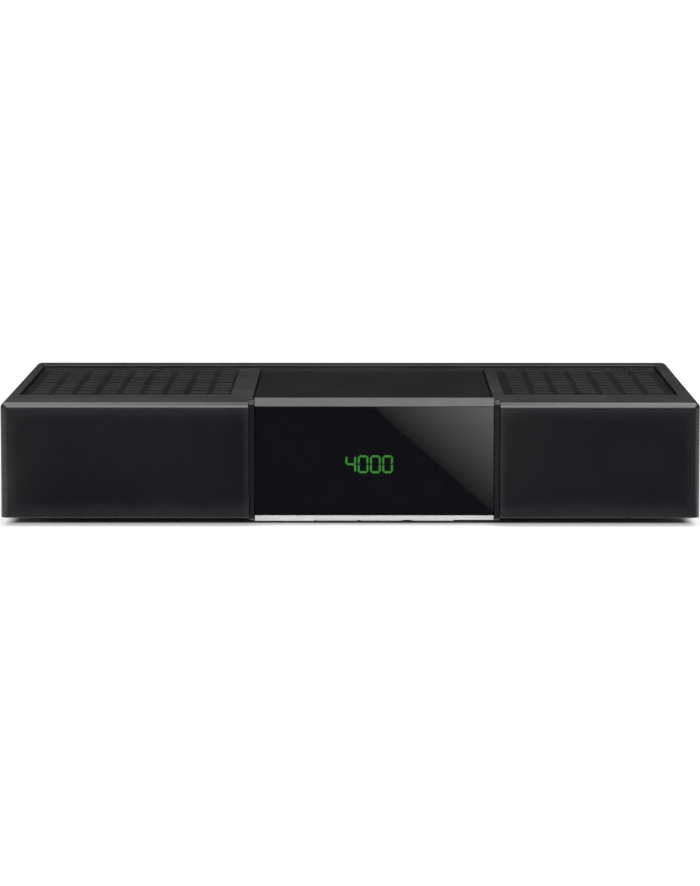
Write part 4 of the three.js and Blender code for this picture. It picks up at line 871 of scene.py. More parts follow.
# The case's footprint as half width, half depth and middle, and how far under it the lift fades out into
# painted shade
FOOTPRINT = (119, 70, -4.5)
SHADE_UNDER = (9, 13.5)
SKY_FILL = 0.25
# Lamps: place, size and strength
LAMPS = {
    "key_lamp": ((160, -1120, 900), (1500, 1100), 3.7),
    "back_lamp": ((-260, 1000, 900), (1200, 700), 1.0),
}
DARK_CARD_STRENGTH = 0.095
DARK_CARD_TINT = (0.97, 0.94, 1.35)
DARK_CARD_START = 8
DARK_CARD_END = 1500
DARK_CARD_RISE = 260
# The dark card's edges as (distance before the front, reach from the camera's line)
DARK_CARD_LEFT = ((8, 121), (130, 121), (270, 290), (1500, 1320))
DARK_CARD_RIGHT = ((8, 131), (270, 340), (1500, 1320))
DARK_CARD_HEIGHT = 1.0
DARK_CARD_STEPS = (18, 4)
BRIGHT_CARD_HEIGHT = 2.0
BRIGHT_CARD_CORNERS = ((7.0, -431.5), (57.5, -431.5), (45.9, -92.1), (46.1, -92.1))
BRIGHT_CARD_FADE = ((8.2, -421.6), (56.8, -427.2))
BRIGHT_CARD_STRENGTH = (0.22, 2.12)
# Plain cards: strength, axis that they stand square to, place on it, and ranges along the other two
PLAIN_CARDS = {
    "back_card": (0.027, 1, 420, (-700, 700), (0, 330)),
    "overhead_left": (4.4, 2, 1100, (-110, -900), (-700, 560)),
    "overhead_right": (5.6, 2, 1100, (110, 900), (-700, 560)),
    "left_card": (0.12, 0, -900, (-1500, 640), (0, 520)),
    "right_card": (0.12, 0, 900, (-1500, 640), (0, 520)),
}


def seen_directly(tree):
    """One for rays from the camera, off gloss and through clear plastic, and nought for others."""
    rays = add(tree, "LightPath").outputs
    gloss = sum_of(tree, "MAXIMUM", rays["Is Glossy Ray"], rays["Is Transmission Ray"])
    return sum_of(tree, "MAXIMUM", rays["Is Camera Ray"], gloss)


def bare_material(name):
    """A material whose tree is empty."""
    material = bpy.data.materials.new(name)
    material.use_nodes = True
    material.node_tree.nodes.clear()
    return material, material.node_tree


def card_material(name, strength, low=None, high=None, tint=(1, 1, 1)):
    """A card that only glows; between two points it may fade from a first to a second strength."""
    material, tree = bare_material(name)
    glow = add(tree, "Emission", {"Color": tint})
    if low is None:
        glow.inputs["Strength"].default_value = strength
    else:
        start = Vector(low) * MM
        run = Vector(high) * MM - start
        place = add(tree, "TexCoord").outputs["Object"]
        inputs = {0: vector_of(tree, "SUBTRACT", place, tuple(start)), 1: tuple(run / run.length_squared)}
        share = add(tree, "VectorMath", inputs, operation="DOT_PRODUCT").outputs["Value"]
        span = {"Value": share, "To Min": strength[0], "To Max": strength[1]}
        fill(tree, glow.inputs["Strength"], add(tree, "MapRange", span).outputs["Result"])
    tree.links.new(glow.outputs[0], add(tree, "OutputMaterial").inputs["Surface"])
    return material


def floor_material():
    """Pale floor: it keeps a shadow near the receiver, is plain white further off and clear from below.

    A lift that only direct rays see makes the shadow soft. It fades out under the receiver, by
    the smaller of the distances in from the footprint's side and from its front or back, which paints shade
    there.
    """
    material, tree = bare_material("studio_floor")
    place = add(tree, "TexCoord").outputs["Object"]
    across, along = parts_of(tree, place)[:2]
    beside = sum_of(tree, "SUBTRACT", FOOTPRINT[0] * MM, sum_of(tree, "ABSOLUTE", across))
    behind = sum_of(tree, "SUBTRACT", FOOTPRINT[1] * MM, apart(tree, along, FOOTPRINT[2] * MM))
    under = sum_of(tree, "MINIMUM", beside, behind)
    # Painted shade: without the lift the floor under the case renders darker
    open_floor = ramped(tree, under, SHADE_UNDER[1] * MM, SHADE_UNDER[0] * MM)
    lifted = times(tree, seen_directly(tree), FLOOR_LIFT, open_floor)
    lit = add(tree, "BsdfDiffuse", {"Color": FLOOR_WHITE})
    lift = add(tree, "Emission", {"Color": (1, 1, 1), "Strength": lifted})
    near = add(tree, "AddShader", {0: lit.outputs[0], 1: lift.outputs[0]})
    far = add(tree, "Emission", {"Color": (1, 1, 1), "Strength": 1.0})
    share = ramped(tree, length_of(tree, place), FLOOR_NEAR * MM, FLOOR_FAR * MM)
    mixed = add(tree, "MixShader", {0: share, 1: near.outputs[0], 2: far.outputs[0]})
    below = add(tree, "NewGeometry").outputs["Backfacing"]
    clear = add(tree, "BsdfTransparent")
    sided = add(tree, "MixShader", {0: below, 1: mixed.outputs[0], 2: clear.outputs[0]})
    tree.links.new(sided.outputs[0], add(tree, "OutputMaterial").inputs["Surface"])
    return material


def soft_lamp(name, place, size, strength):
    """A rectangular lamp that faces the receiver; its power is four times its area times its strength."""
    light = bpy.data.lights.new(name, "AREA")
    light.shape = "RECTANGLE"
    light.size = size[0] * MM
    light.size_y = size[1] * MM
    light.energy = 4 * light.size * light.size_y * strength
    lamp = bpy.data.objects.new(name, light)
    lamp.location = Vector(place) * MM
    lamp.rotation_mode = "QUATERNION"
    lamp.rotation_quaternion = (-lamp.location).to_track_quat("-Z", "Y")
    bpy.context.scene.collection.objects.link(lamp)


def stage_sheet(name, points, material, gloss_only=True):
    """An open grid of points as a floor or card; a card shows only in gloss."""
    mesh = bpy.data.meshes.new(name)
    faces = grid_faces(*points.shape[:2], (False, False))
    mesh.from_pydata((points.reshape(-1, 3) * MM).tolist(), [], faces.tolist())
    mesh.materials.append(material)
    sheet = bpy.data.objects.new(name, mesh)
    bpy.context.scene.collection.objects.link(sheet)
    if gloss_only:
        sheet.visible_camera = False
        sheet.visible_diffuse = False
        sheet.visible_transmission = False
        sheet.visible_volume_scatter = False
        sheet.visible_shadow = False


def build_studio():
    """White room for the camera, soft lamps for the receiver, and cards that gloss alone sees."""
    world = bpy.data.worlds.new("studio_white")
    world.use_nodes = True
    sky = world.node_tree.nodes["Background"]
    sky.inputs["Color"].default_value = (1, 1, 1, 1)
    seen = seen_directly(world.node_tree)
    strength = sum_of(world.node_tree, "MULTIPLY_ADD", seen, 1.0 - SKY_FILL, SKY_FILL)
    fill(world.node_tree, sky.inputs["Strength"], strength)
    bpy.context.scene.world = world

    reach = (-FLOOR_REACH, FLOOR_REACH)
    stage_sheet("studio_floor", grid_on(2, *np.meshgrid(reach, reach), 0), floor_material(), False)
    for name, lamp in LAMPS.items():
        soft_lamp(name, *lamp)

    # The dark card fans out over the floor in front and then stands up
    fan = np.geomspace(DARK_CARD_START, DARK_CARD_END, DARK_CARD_STEPS[0])
    standing = np.linspace(0, DARK_CARD_RISE, DARK_CARD_STEPS[1] + 1)[1:]
    distance = np.concatenate([fan, np.full_like(standing, DARK_CARD_END)])
    rise = np.concatenate([np.full_like(fan, DARK_CARD_HEIGHT), standing])
    left = -np.interp(distance, *zip(*DARK_CARD_LEFT))
    right = np.interp(distance, *zip(*DARK_CARD_RIGHT))
    edges = np.stack([left, right], axis=1) + CAMERA_PLACE[0]
    dark = grid_on(1, edges, rise[:, None], FRONT_Y - distance[:, None])
    stage_sheet("dark_card", dark, card_material("dark_card", DARK_CARD_STRENGTH, tint=DARK_CARD_TINT))

    corners = np.array(BRIGHT_CARD_CORNERS).reshape(2, 2, 2)
    fade = [(*corner, BRIGHT_CARD_HEIGHT) for corner in BRIGHT_CARD_FADE]
    bright = grid_on(2, corners[..., 0], corners[..., 1], BRIGHT_CARD_HEIGHT)
    stage_sheet("bright_card", bright, card_material("bright_card", BRIGHT_CARD_STRENGTH, *fade))

    for name, (strength, axis, place, *ranges) in PLAIN_CARDS.items():
        card = grid_on(axis, *np.meshgrid(*ranges, indexing="ij"), place)
        stage_sheet(name, card, card_material(name, strength))


def dress_nodes():
    """Gives every CAD node the finish of its slot in the record."""
    for node, slot in SLOTS.items():
        mesh = frame["nodes"][node].data
        mesh.materials.clear()
        mesh.materials.append(FINISHES[slot])


# CAD nodes of the case that keep their form and get rounded edges: name of the piece, and width
SOFTENED = {
    "top_cover": ("cover_moulding", 0.5),
    "vent_panel": ("vent_moulding", 0.18),
    "bottom_tray": ("tray_moulding", 0.3),
    "rear_panel": ("rear_plate", 0.25),
    "display_frame": ("frame_moulding", 0.22),
    "bottom_trim": ("strip_moulding", 0.12),
    "aerial_nut": ("nut_body", 0.3),
    "scart_socket": ("scart_moulding", 0.18),
    "hdmi_socket": ("hdmi_shell", 0.1),
    "usb_socket": ("usb_shell", 0.1),
    "audio_socket": ("audio_moulding", 0.2),
    "power_jack": ("jack_moulding", 0.2),
    "power_switch_body": ("switch_moulding", 0.25),
    "heat_sink": ("sink_extrusion", 0.12),
    "tuner_can": ("tuner_cover", 0.3),
    "main_board_header": ("header_body", 0.2),
    "audio_core": ("audio_insert", 0.12),
    "infrared_receiver": ("receiver_package", 0.15),
    "led_display": ("display_package", 0.25),
    "processor": ("processor_package", 0.12),
    "memory_chip": ("memory_package", 0.12),
    "inductor": ("inductor_core", 0.3),
}
# Each key's parts: ending of the node's and of the piece's name, and width; the switch stays put
KEYS = ("channel_down", "channel_up", "standby")
KEY_PARTS = (("_key", "_cap", 0.18), ("_plunger", "_pin", 0.12))
SWITCH_ROUNDING = 0.15
ROCKER_ROUNDING = 0.35


def build_softened():
    """Rounded copies of the CAD nodes whose form is right as it is."""
    for node, (name, width) in SOFTENED.items():
        softened(node, name, "case", width)
    for key in KEYS:
        for node_end, name_end, width in KEY_PARTS:
            softened(key + node_end, key + name_end, key, width)
        softened(key + "_switch", key + "_cover", "case", SWITCH_ROUNDING)
    softened("power_rocker", "rocker_moulding", "power_rocker", ROCKER_ROUNDING)


WINDOW_CORNER = 0.3
WINDOW_EDGE = 0.12
TRIM_END = 0.12
# Top trim: corners as (behind, above the trim's lowest edge), and their rounding
TRIM_CORNERS = ((1, 0), (1.7, 0), (1.7, 0.9), (5.5, 0.9), (5.5, 2.6), (3.5, 2.6), (1, 0.3))
TRIM_ROUNDS = (0.08, 0.08, 0.03, 0.15, 0.2, 0.35, 0.15)


def build_window_and_trim():
    """The smoked pane with polished rims, and the silver trim's section carried across its width."""
    pane = rounded_slab(*node_box("display_window"), WINDOW_CORNER, WINDOW_EDGE)
    stand_in("display_window", "window_pane", pane)
    low, high = node_box("top_trim")
    loop = rounded_loop(np.array(TRIM_CORNERS) + (0, low[2]), TRIM_ROUNDS, 5)
    stand_in("top_trim", "trim_moulding", carried_along_x(loop, low[0], high[0], TRIM_END))


# The four-figure display: bars from and to (column, row), top first and then clockwise, middle last
BARS = (
    ((0, 2), (1, 2)),
    ((1, 2), (1, 1)),
    ((1, 1), (1, 0)),
    ((0, 0), (1, 0)),
    ((0, 1), (0, 0)),
    ((0, 2), (0, 1)),
    ((0, 1), (1, 1)),
)
LIT_BARS = ((1, 2, 5, 6), (0, 1, 2, 3, 4, 5), (0, 1, 2, 3, 4, 5), (0, 1, 2, 3, 4, 5))
FIGURE_WIDTH = 3.4
FIGURE_HEIGHT = 5.7
FIGURE_PITCH = 3.87
FIGURE_LEFT = -1.5
FIGURE_LOW = 16.87
BAR_WIDTH = 0.66
BAR_GAP = 0.07
BAR_RELIEF = 0.12


def build_figures():
    """Lit bars on the display's face: each is a slim six-sided loop with pointed ends, raised a little."""
    half = BAR_WIDTH / 2
    columns = (half, FIGURE_WIDTH - half)
    rows = (half, FIGURE_HEIGHT / 2, FIGURE_HEIGHT - half)
    face = node_box("led_display")[0][1]
    depths = np.array([[face], [face - BAR_RELIEF]])
    shells = []
    for number, lit in enumerate(LIT_BARS):
        for bar in lit:
            start, finish = (np.array([columns[column], rows[row]]) for column, row in BARS[bar])
            run = (finish - start) / np.linalg.norm(finish - start)
            side = np.array([-run[1], run[0]]) * half
            start = start + run * BAR_GAP
            finish = finish - run * BAR_GAP
            first, last = start + run * half, finish - run * half
            loop = np.array([start, first + side, last + side, finish, last - side, first - side])
            loop += (FIGURE_LEFT + number * FIGURE_PITCH, FIGURE_LOW)
            shells.append(shell(grid_on(1, loop[:, 0], loop[:, 1], depths)))
    placed_piece("display_figures", together(shells), "display_glow")


# Foot: (radius, height) from the hollow outwards and up to the top of its stem
FOOT_PROFILE = (
    *((3.4, 0.35), (3.7, 0.1), (4.0, 0.0), (5.3, 0.0), (5.75, 0.16), (5.98, 0.55), (6.0, 1.0)),
    *((5.9, 1.12), (5.72, 1.2), (5.72, 1.42), (5.9, 1.5), (6.0, 1.62), (6.0, 2.45), (5.9, 2.7)),
    *((5.6, 2.8), (1.5, 2.8), (1.5, 5.3), (1.42, 6.0), (1.1, 6.3)),
)
CORNERS = ("front_left", "front_right", "rear_left", "rear_right")


def build_feet():
    """Rubber feet with a hollow under them and a groove round the rim."""
    for corner in CORNERS:
        node = "foot_" + corner
        low, high = node_box(node)
        stand_in(node, node + "_rubber", turned(FOOT_PROFILE, (low + high) / 2))


# Screws: head's radius and height, shank's radius, recess's reach, width and depth, thread's depth
LARGE_SCREW = (2.8, 1.6, 1.0, 1.55, 0.52, 1.15, 0.16)
SMALL_SCREW = (2.0, 1.2, 0.78, 1.15, 0.4, 0.8, 0.12)
SCREW_PITCH = 0.8
SCREW_SIDES = 64
SCREW_RINGS = 30
SHANK_RINGS = 60
POINT_LENGTH = 1.6
POINT_TAPER = 0.7
# Head: where its rings start, soft edges of the recess, and how much shallower it ends
RING_START = 0.04
RECESS_WALL = 0.14
RECESS_END = 0.2
RECESS_RISE = 0.45
# Head's dome, its rounded-over edge and its rim, as shares of its height, and the rim's bevel
DOME_SHARE = 0.3
EDGE_SHARE = 0.22
RIM_SHARE = 0.72
RIM_BEVEL = 0.15


def build_screw(node, axis, outwards, size):
    """A pan head with a cross recess, and a threaded shank.

    The head's height is a shallow dome less the recess: the recess is deep where a point is
    close to either of two crossing lines and not far out, and gets shallower outwards. Below
    the head the radius follows a triangle wave of the depth over the pitch less the angle over
    a turn, and the end tapers.
    """
    head, height, core, reach, width, recess, tooth = size
    low, high = node_box(node)
    across, up = np.delete((low + high) / 2, axis)
    face = high[axis] if outwards > 0 else low[axis]
    length = high[axis] - low[axis]
    angle = turn_in(SCREW_SIDES)[None]
    ring = np.linspace(RING_START, 1, SCREW_RINGS)[:, None]
    radius = head * ring * np.ones_like(angle)
    offsets = np.abs(radius * np.cos(angle)), np.abs(radius * np.sin(angle))
    out = np.maximum(*offsets)
    near = 1 - smooth(np.minimum(*offsets), width / 2, width / 2 + RECESS_WALL)
    inner = 1 - smooth(out, reach - RECESS_END, reach)
    slope = 1 - RECESS_RISE * np.clip(out / reach, 0, 1)
    dome = height * (DOME_SHARE * ring**2 + EDGE_SHARE * smooth(ring, 0.8, 1.0))
    rim = [(head, height * RIM_SHARE), (head, height - RIM_BEVEL), (head - RIM_BEVEL, height)]
    rim = np.repeat(np.array([*rim, (core + 0.05, height)])[..., None], SCREW_SIDES, axis=2)
    shank = np.linspace(height + 0.1, length - 0.05, SHANK_RINGS)[:, None]
    taper = 1 - POINT_TAPER * smooth(shank, length - POINT_LENGTH, length)
    threaded = (core - tooth * thread_wave(shank, SCREW_PITCH, angle)) * taper
    radii = np.concatenate([radius, rim[:, 0], threaded])
    shank = np.repeat(shank, SCREW_SIDES, axis=1)
    depths = np.concatenate([dome + recess * near * inner * slope, rim[:, 1], shank])
    places = across + radii * np.cos(angle), up + radii * np.sin(angle)
    stand_in(node, node + "_steel", shell(grid_on(axis, *places, face - outwards * depths)), sharp=50)


def build_screws():
    """Case screws from below, rear panel screws from behind, and the small screws of both boards."""
    for corner in CORNERS:
        build_screw("case_screw_" + corner, 2, -1, LARGE_SCREW)
        build_screw("board_screw_" + corner, 2, 1, SMALL_SCREW)
    for side in ("left", "right"):
        build_screw("rear_screw_" + side, 1, 1, LARGE_SCREW)
        build_screw("display_screw_" + side, 1, 1, SMALL_SCREW)


# Capacitor can: radii as shares of its radius, heights up from its foot
CAN_FOOT = ((0.3, 0.35), (0.55, 0.3), (0.62, 0.0), (0.9, 0.0), (0.97, 0.12), (1.0, 0.45))
CAN_CRIMP = ((1.0, 1.1), (0.96, 1.35), (0.93, 1.6), (0.93, 1.75), (0.96, 2.0), (1.0, 2.25))
# and heights down from its top: the sleeve folds over the rim, and the bare top lies lower
CAN_FOLD = ((1.0, 0.6), (0.985, 0.3), (0.95, 0.1), (0.9, 0.0), (0.85, 0.03))
CAN_TOP = ((0.835, 0.2), (0.6, 0.22), (0.05, 0.22))


def build_capacitors():
    """Three cans turned from one profile: a foot with a bung, a crimp, and a rim with a sunk top."""
    for size in CAN_SIZES:
        node = "capacitor_" + size
        low, high = node_box(node)
        radius = (high[0] - low[0]) / 2
        profile = [(share * radius, low[2] + rise) for share, rise in CAN_FOOT + CAN_CRIMP]
        profile += [(share * radius, high[2] - drop) for share, drop in CAN_FOLD + CAN_TOP]
        stand_in(node, node + "_can", turned(profile, (low + high) / 2), sharp=40)


# Aerial connector: an inch thread of 32 turns
AERIAL_PITCH = 25.4 / 32
AERIAL_THREAD = 0.42
AERIAL_THREAD_START = (3.2, 4.0)
AERIAL_THREAD_END = (1.0, 0.5)
AERIAL_BORE = 3.9
AERIAL_BORE_DEPTH = 9.5
AERIAL_SIDES = 56
AERIAL_RINGS = 150
# How far the barrel's end is broken: outside along and across, and at the bore
AERIAL_BREAK = (0.25, 0.2, 0.15)


def build_aerial_connector():
    """The threaded barrel.

    Its radius is the outer radius less the thread's depth times a triangle wave of the place
    along the barrel over the pitch less the angle over a turn, and the wave fades out near
    both ends. The wall turns over the rim and runs down the bore.
    """
    low, high = node_box("aerial_connector")
    middle = (low + high) / 2
    outer = (high[0] - low[0]) / 2
    start, end = low[1], high[1]
    angle = turn_in(AERIAL_SIDES)[None]
    back, drop, inner = AERIAL_BREAK
    along = np.linspace(start, end - back, AERIAL_RINGS)[:, None]
    first, last = np.array(AERIAL_THREAD_START) + start, end - np.array(AERIAL_THREAD_END)
    fade = smooth(along, *first) * (1 - smooth(along, *last))
    radius = outer - AERIAL_THREAD * thread_wave(along, AERIAL_PITCH, angle) * fade
    rim = [(outer - drop, end), (AERIAL_BORE + inner, end), (AERIAL_BORE, end - inner)]
    rim = np.array([*rim, (AERIAL_BORE, end - AERIAL_BORE_DEPTH)])
    rim = np.repeat(rim[..., None], AERIAL_SIDES, axis=2)
    radii = np.concatenate([radius, rim[:, 0]])
    places = np.concatenate([np.repeat(along, AERIAL_SIDES, axis=1), rim[:, 1]])
    barrel = grid_on(1, middle[0] + radii * np.cos(angle), middle[2] + radii * np.sin(angle), places)
    stand_in("aerial_connector", "aerial_barrel", shell(barrel), sharp=60)


# The large socket's flange
FLANGE_PLACE = (63.2, 63.75)
FLANGE_REACH = 1.3
FLANGE_ROOT = 0.3
FLANGE_CORNER = 0.4


def build_scart_flange():
    """The flange behind the panel: a rounded rectangle less a smaller one, carried in depth."""
    low, high = node_box("scart_socket")
    loops = []
    for reach in (-FLANGE_ROOT, FLANGE_REACH):
        foot = (low[0] - reach, low[2] - min(reach, 0))
        loops.append(rounded_loop(rectangle(foot, high[::2] + reach), FLANGE_CORNER))
    loops = np.array(loops)[[0, 1, 1, 0]]
    depths = np.repeat(FLANGE_PLACE, 2)[:, None]
    placed_piece("scart_flange", looped(grid_on(1, loops[..., 0], loops[..., 1], depths)), "socket_plastic")


# Contacts of the large socket: how many in a row, their places and size, and how far inside the
# socket's rear face they start and end
SCART_COUNT = 10
SCART_PITCH = 3.81
SCART_STAGGER = 0.45
SCART_ROW = 2.6
SCART_BLADE = (0.36, 2.0)
SCART_BLADE_SPAN = (6.8, 1.1)
# Tongues: node, contacts on it and their pitch, a contact's width, length and thickness,
# the tongue's inset, its rise and its height, and whether both its faces have contacts
TONGUES = (
    ("hdmi_socket", 9, 1.0, (0.45, 6.5, 0.05), (1.5, 2.1, 1.2), True),
    ("usb_socket", 4, 2.5, (1.1, 7.5, 0.06), (2.0, 3.0, 1.8), False),
)
BLUNT_END = 0.45
# Lengths over which blades and strips narrow, and how far strips stop short of the tongue's end
BLADE_DRAW = 1.0
STRIP_DRAW = 0.3
STRIP_BACK = 0.4


def contact_row(x, z, count, pitch, section, y0, y1, draw):
    """Contacts side by side, each carried along Y with a last part that narrows to a blunt end."""
    half = np.array(section) / 2
    loop = rectangle(-half, half)
    scale = np.array([[1], [1], [BLUNT_END]])
    places = np.array([[y0], [y1 - draw], [y1]])
    middles = x + (np.arange(count) - (count - 1) / 2) * pitch
    return [
        shell(grid_on(1, middle + loop[:, 0] * scale, z + loop[:, 1] * scale, places)) for middle in middles
    ]


def build_contacts():
    """Spring blades in the large socket's slots, and gold strips on the tongues of the two small ones."""
    low, high = node_box("scart_socket")
    x, _, z = (low + high) / 2
    start, end = high[1] - np.array(SCART_BLADE_SPAN)
    blades = []
    for row in (-1, 1):
        place = (x + row * SCART_STAGGER, z + row * SCART_ROW)
        blades += contact_row(*place, SCART_COUNT, SCART_PITCH, SCART_BLADE, start, end, BLADE_DRAW)
    placed_piece("scart_contacts", together(blades), "can_steel")

    strips = []
    for node, count, pitch, (width, length, thickness), (inset, rise, height), both in TONGUES:
        low, high = node_box(node)
        end = high[1] - inset - STRIP_BACK
        under = low[2] + rise - thickness / 2
        for level in (under, under + height + thickness) if both else (under,):
            place = ((low[0] + high[0]) / 2, level)
            section = (width, thickness)
            strips += contact_row(*place, count, pitch, section, end - length, end, STRIP_DRAW)
    placed_piece("socket_contacts", together(strips), "contact_gold")


# Marks on the rocker: on is a line, off is a ring
ROCKER_PIVOT = (90.0, 63.0, 21.5)
ROCKER_TILT = 10
ROCKER_MIDDLE = 4.0
ROCKER_END = (5.8, 7.6)
MARK_PLACE = 4.3
MARK_ROOT = -0.02
MARK_RELIEF = 0.06
LINE_HALF = (0.3, 1.45)
LINE_CORNER = 0.12
RING_RADII = (1.05, 1.55)
RING_SIDES = 48


def rocker_point(across, along, proud, side):
    """Points on one half of the rocker's face, given across it, up its slope and proud of it.

    The face is two planes that meet in a valley: the outward place grows with the distance from
    the valley. The result turns about the pivot by the rocker's tilt at rest.
    """
    slope = (ROCKER_END[0] - ROCKER_MIDDLE) / ROCKER_END[1]
    length = math.hypot(slope, 1)
    outward = ROCKER_MIDDLE + along * slope / length + proud / length
    rise = side * (along / length - proud * slope / length)
    turn = math.radians(ROCKER_TILT)
    y = outward * math.cos(turn) - rise * math.sin(turn)
    z = outward * math.sin(turn) + rise * math.cos(turn)
    return grid_on(0, ROCKER_PIVOT[1] + y, ROCKER_PIVOT[2] + z, ROCKER_PIVOT[0] + across)


def build_rocker_marks():
    """A raised line for on and a raised ring for off, which tip with the rocker."""
    loop = rounded_loop(rectangle(-np.array(LINE_HALF), LINE_HALF), LINE_CORNER)
    levels = np.array([[MARK_ROOT], [MARK_RELIEF]])
    line = rocker_point(loop[:, 0], MARK_PLACE + loop[:, 1], levels, 1)
    angle = turn_in(RING_SIDES)[:, None]
    radii, heights = rectangle((RING_RADII[0], MARK_ROOT), (RING_RADII[1], MARK_RELIEF)).T
    ring = rocker_point(radii * np.cos(angle), MARK_PLACE + radii * np.sin(angle), heights, -1)
    placed_piece("rocker_on_mark", shell(line), "rocker_marks", "power_rocker")
    placed_piece("rocker_off_mark", looped(ring), "rocker_marks", "power_rocker")


# Ribbon cable
RIBBON_WIDTH = 10.0
RIBBON_HALF = 0.45
RIBBON_WEB = 0.35
RIBBON_START_RISE = 6.8
RIBBON_ARCH = 6.0
RIBBON_FALL = 4.8
RIBBON_SHARES = (0.25, 0.65)
RIBBON_STEPS = 90
RIBBON_ACROSS = 121
BOARD_GAP = 0.3


def build_ribbon_cable():
    """The flat cable: ten round conductors side by side, carried from board to board.

    Across the cable the half thickness is that of a circle over each conductor, the root of one
    less the square of the place on it, and never less than the web between two conductors.
    """
    board_low, board_high = node_box("display_board")
    header_low, header_high = node_box("main_board_header")
    start_y = board_high[1] + BOARD_GAP
    start_z = board_low[2] + RIBBON_START_RISE
    middle_x, end_y = ((header_low + header_high) / 2)[:2]
    end_z = header_high[2] + BOARD_GAP
    run = end_y - start_y
    path = [
        (start_y, start_z),
        (start_y + run * RIBBON_SHARES[0], start_z + RIBBON_HALF * 2),
        (start_y + run * RIBBON_SHARES[1], start_z + RIBBON_ARCH),
        (end_y - RIBBON_HALF * 2, end_z + RIBBON_FALL),
        (end_y, end_z + RIBBON_HALF * 4),
        (end_y, end_z),
    ]
    places, heading = spline(path, RIBBON_STEPS, 0, 0)
    heading[0] = (1, 0)
    heading[-1] = (0, -1)
    across = np.linspace(-RIBBON_WIDTH / 2, RIBBON_WIDTH / 2, RIBBON_ACROSS)
    on_wire = np.mod(across / RIBBON_PITCH, 1) * 2 - 1
    half = RIBBON_HALF * np.maximum(np.sqrt(np.maximum(1 - on_wire**2, 0)), RIBBON_WEB)
    loop_x = np.concatenate([across, across[::-1]])
    rise = np.concatenate([half, -half[::-1]])
    behind = places[:, :1] - heading[:, 1:] * rise
    above = places[:, 1:] + heading[:, :1] * rise
    jacket = shell(grid_on(0, behind, above, middle_x + loop_x))
    stand_in("ribbon_cable", "ribbon_jacket", jacket, sharp=60)


# Twin wire of the power switch: the left wire's route, and how far to its right the other one is
WIRE_RADIUS = 0.7
WIRE_ROUTE = (
    *((89.4, 51.2, 18.5), (89.4, 49.2, 18.5), (82.4, 39.5, 22.5)),
    *((75.4, 43.5, 20.3), (75.4, 43.5, 12.3)),
)
WIRE_PITCH = 1.2
WIRE_BARE = 1.4
WIRE_STRAND = 0.34
WIRE_SHOULDER = 0.25
WIRE_SIDES = 20
WIRE_STEPS = 110
WIRE_ASKEW = (0.35, 0.15, 0.1)


def build_switch_wires():
    """The switch's two wires: a round sleeve along its route, drawn in to the bare strand at the board.

    Two directions square to the heading carry the circle: the heading crossed with a fixed one,
    and the heading crossed with that. The radius steps from sleeve to strand near the end.
    """
    angle = turn_in(WIRE_SIDES)[None, :, None]
    shells = []
    for shift in (0, WIRE_PITCH):
        places, heading = spline(np.array(WIRE_ROUTE) + (shift, 0, 0), WIRE_STEPS, 0.5, 1)
        heading[0] = (0, -1, 0)
        side = np.cross(heading, WIRE_ASKEW)
        side /= np.linalg.norm(side, axis=1, keepdims=True)
        other = np.cross(heading, side)
        run = np.concatenate([[0], np.cumsum(np.linalg.norm(np.diff(places, axis=0), axis=1))])
        sleeve = smooth(run[-1] - run, WIRE_BARE, WIRE_BARE + WIRE_SHOULDER)
        radius = WIRE_STRAND + (WIRE_RADIUS - WIRE_STRAND) * sleeve
        circle = side[:, None] * np.cos(angle) + other[:, None] * np.sin(angle)
        shells.append(shell(places[:, None] + circle * radius[:, None, None]))
    stand_in("switch_wires", "wire_sleeves", together(shells), sharp=50)


# Leads of the memory chip: the route is (out from the body, up from its foot)
LEAD_ROUTE = ((-0.1, 0.62), (0.24, 0.62), (0.44, 0.48), (0.5, 0.2), (0.64, 0.08), (1.0, 0.08))
LEAD_SECTION = (0.34, 0.13)
LEAD_COUNT = 15
LEAD_PITCH = 0.8
LEAD_STEPS = 16


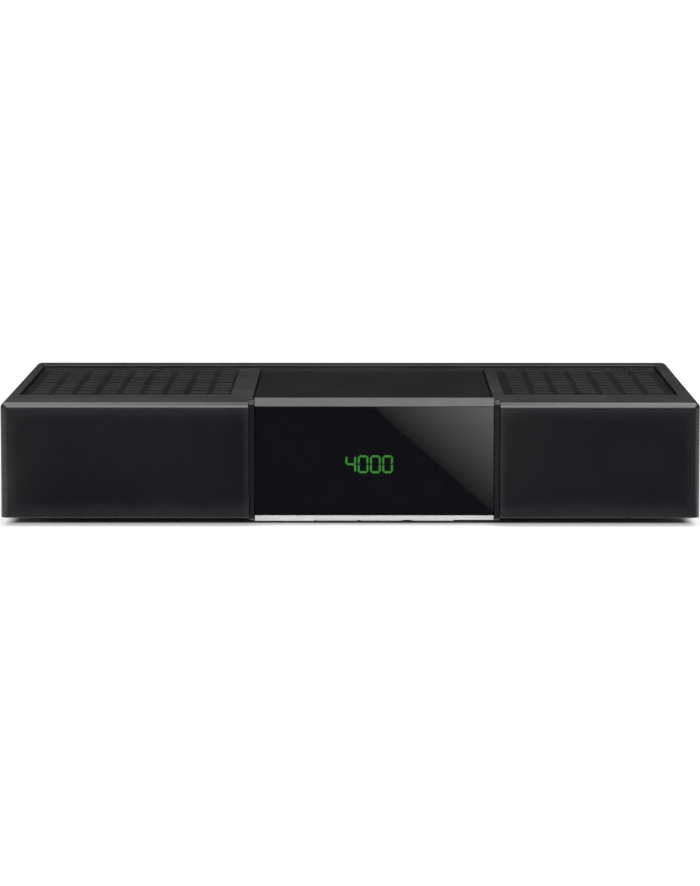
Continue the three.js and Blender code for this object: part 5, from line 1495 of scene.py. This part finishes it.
def build_chip_leads():
    """The memory chip's leads: a flat strip carried out of each long side and bent to the board."""
    low, high = node_box("memory_chip")
    middle = (low + high) / 2
    reach = (high[0] - low[0]) / 2
    places, heading = spline(LEAD_ROUTE, LEAD_STEPS, 0.5, 1)
    half = np.array(LEAD_SECTION) / 2
    width, thickness = rectangle(-half, half).T
    out = places[:, :1] - heading[:, 1:] * thickness
    up = places[:, 1:] + heading[:, :1] * thickness
    rows = middle[1] + (np.arange(LEAD_COUNT) - (LEAD_COUNT - 1) / 2) * LEAD_PITCH
    leads = [
        shell(grid_on(0, row + width, low[2] + up, middle[0] + side * (reach + out)))
        for side in (-1, 1)
        for row in rows
    ]
    placed_piece("memory_leads", together(leads), "can_steel")


bpy.context.scene.view_settings.view_transform = "Standard"
make_camera()
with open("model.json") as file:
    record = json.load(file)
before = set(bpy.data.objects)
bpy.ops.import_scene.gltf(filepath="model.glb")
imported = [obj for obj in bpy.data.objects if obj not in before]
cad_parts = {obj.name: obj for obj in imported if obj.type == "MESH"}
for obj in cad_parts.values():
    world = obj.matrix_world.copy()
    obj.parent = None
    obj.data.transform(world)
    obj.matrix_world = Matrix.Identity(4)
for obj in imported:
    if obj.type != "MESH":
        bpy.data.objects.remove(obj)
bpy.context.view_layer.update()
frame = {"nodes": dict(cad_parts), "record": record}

SLOTS = {row["node"]: row["material_slot"] for row in frame["record"]["subparts"]}
GROUPS = {
    "grain": moulded_grain_group(),
    "rub": edge_rub_group(),
    "dust": settled_dust_group(),
    "brush": brushing_group(),
    "touch": touch_marks_group(),
    "board": board_pattern_group(),
    "ribs": vent_ribs_group(),
    "can": can_marks_group(),
}
FINISHES = {slot: moulded(*row, **WEAR_AND_SHEEN.get(slot, {})) for slot, row in PLASTICS.items()}
FINISHES |= {slot: metal(*row) for slot, row in METALS.items()}
FINISHES |= {
    "vent_plastic": vent_material(),
    "window_plastic": window_material(),
    "display_glow": digit_material(),
    "board_green": board_material(),
    "ribbon_white": ribbon_material(),
    "capacitor_sleeve": sleeve_material(),
}

dress_nodes()
build_studio()
build_softened()
build_window_and_trim()
build_figures()
build_feet()
build_screws()
build_capacitors()
build_aerial_connector()
build_scart_flange()
build_contacts()
build_rocker_marks()
build_ribbon_cable()
build_switch_wires()
build_chip_leads()
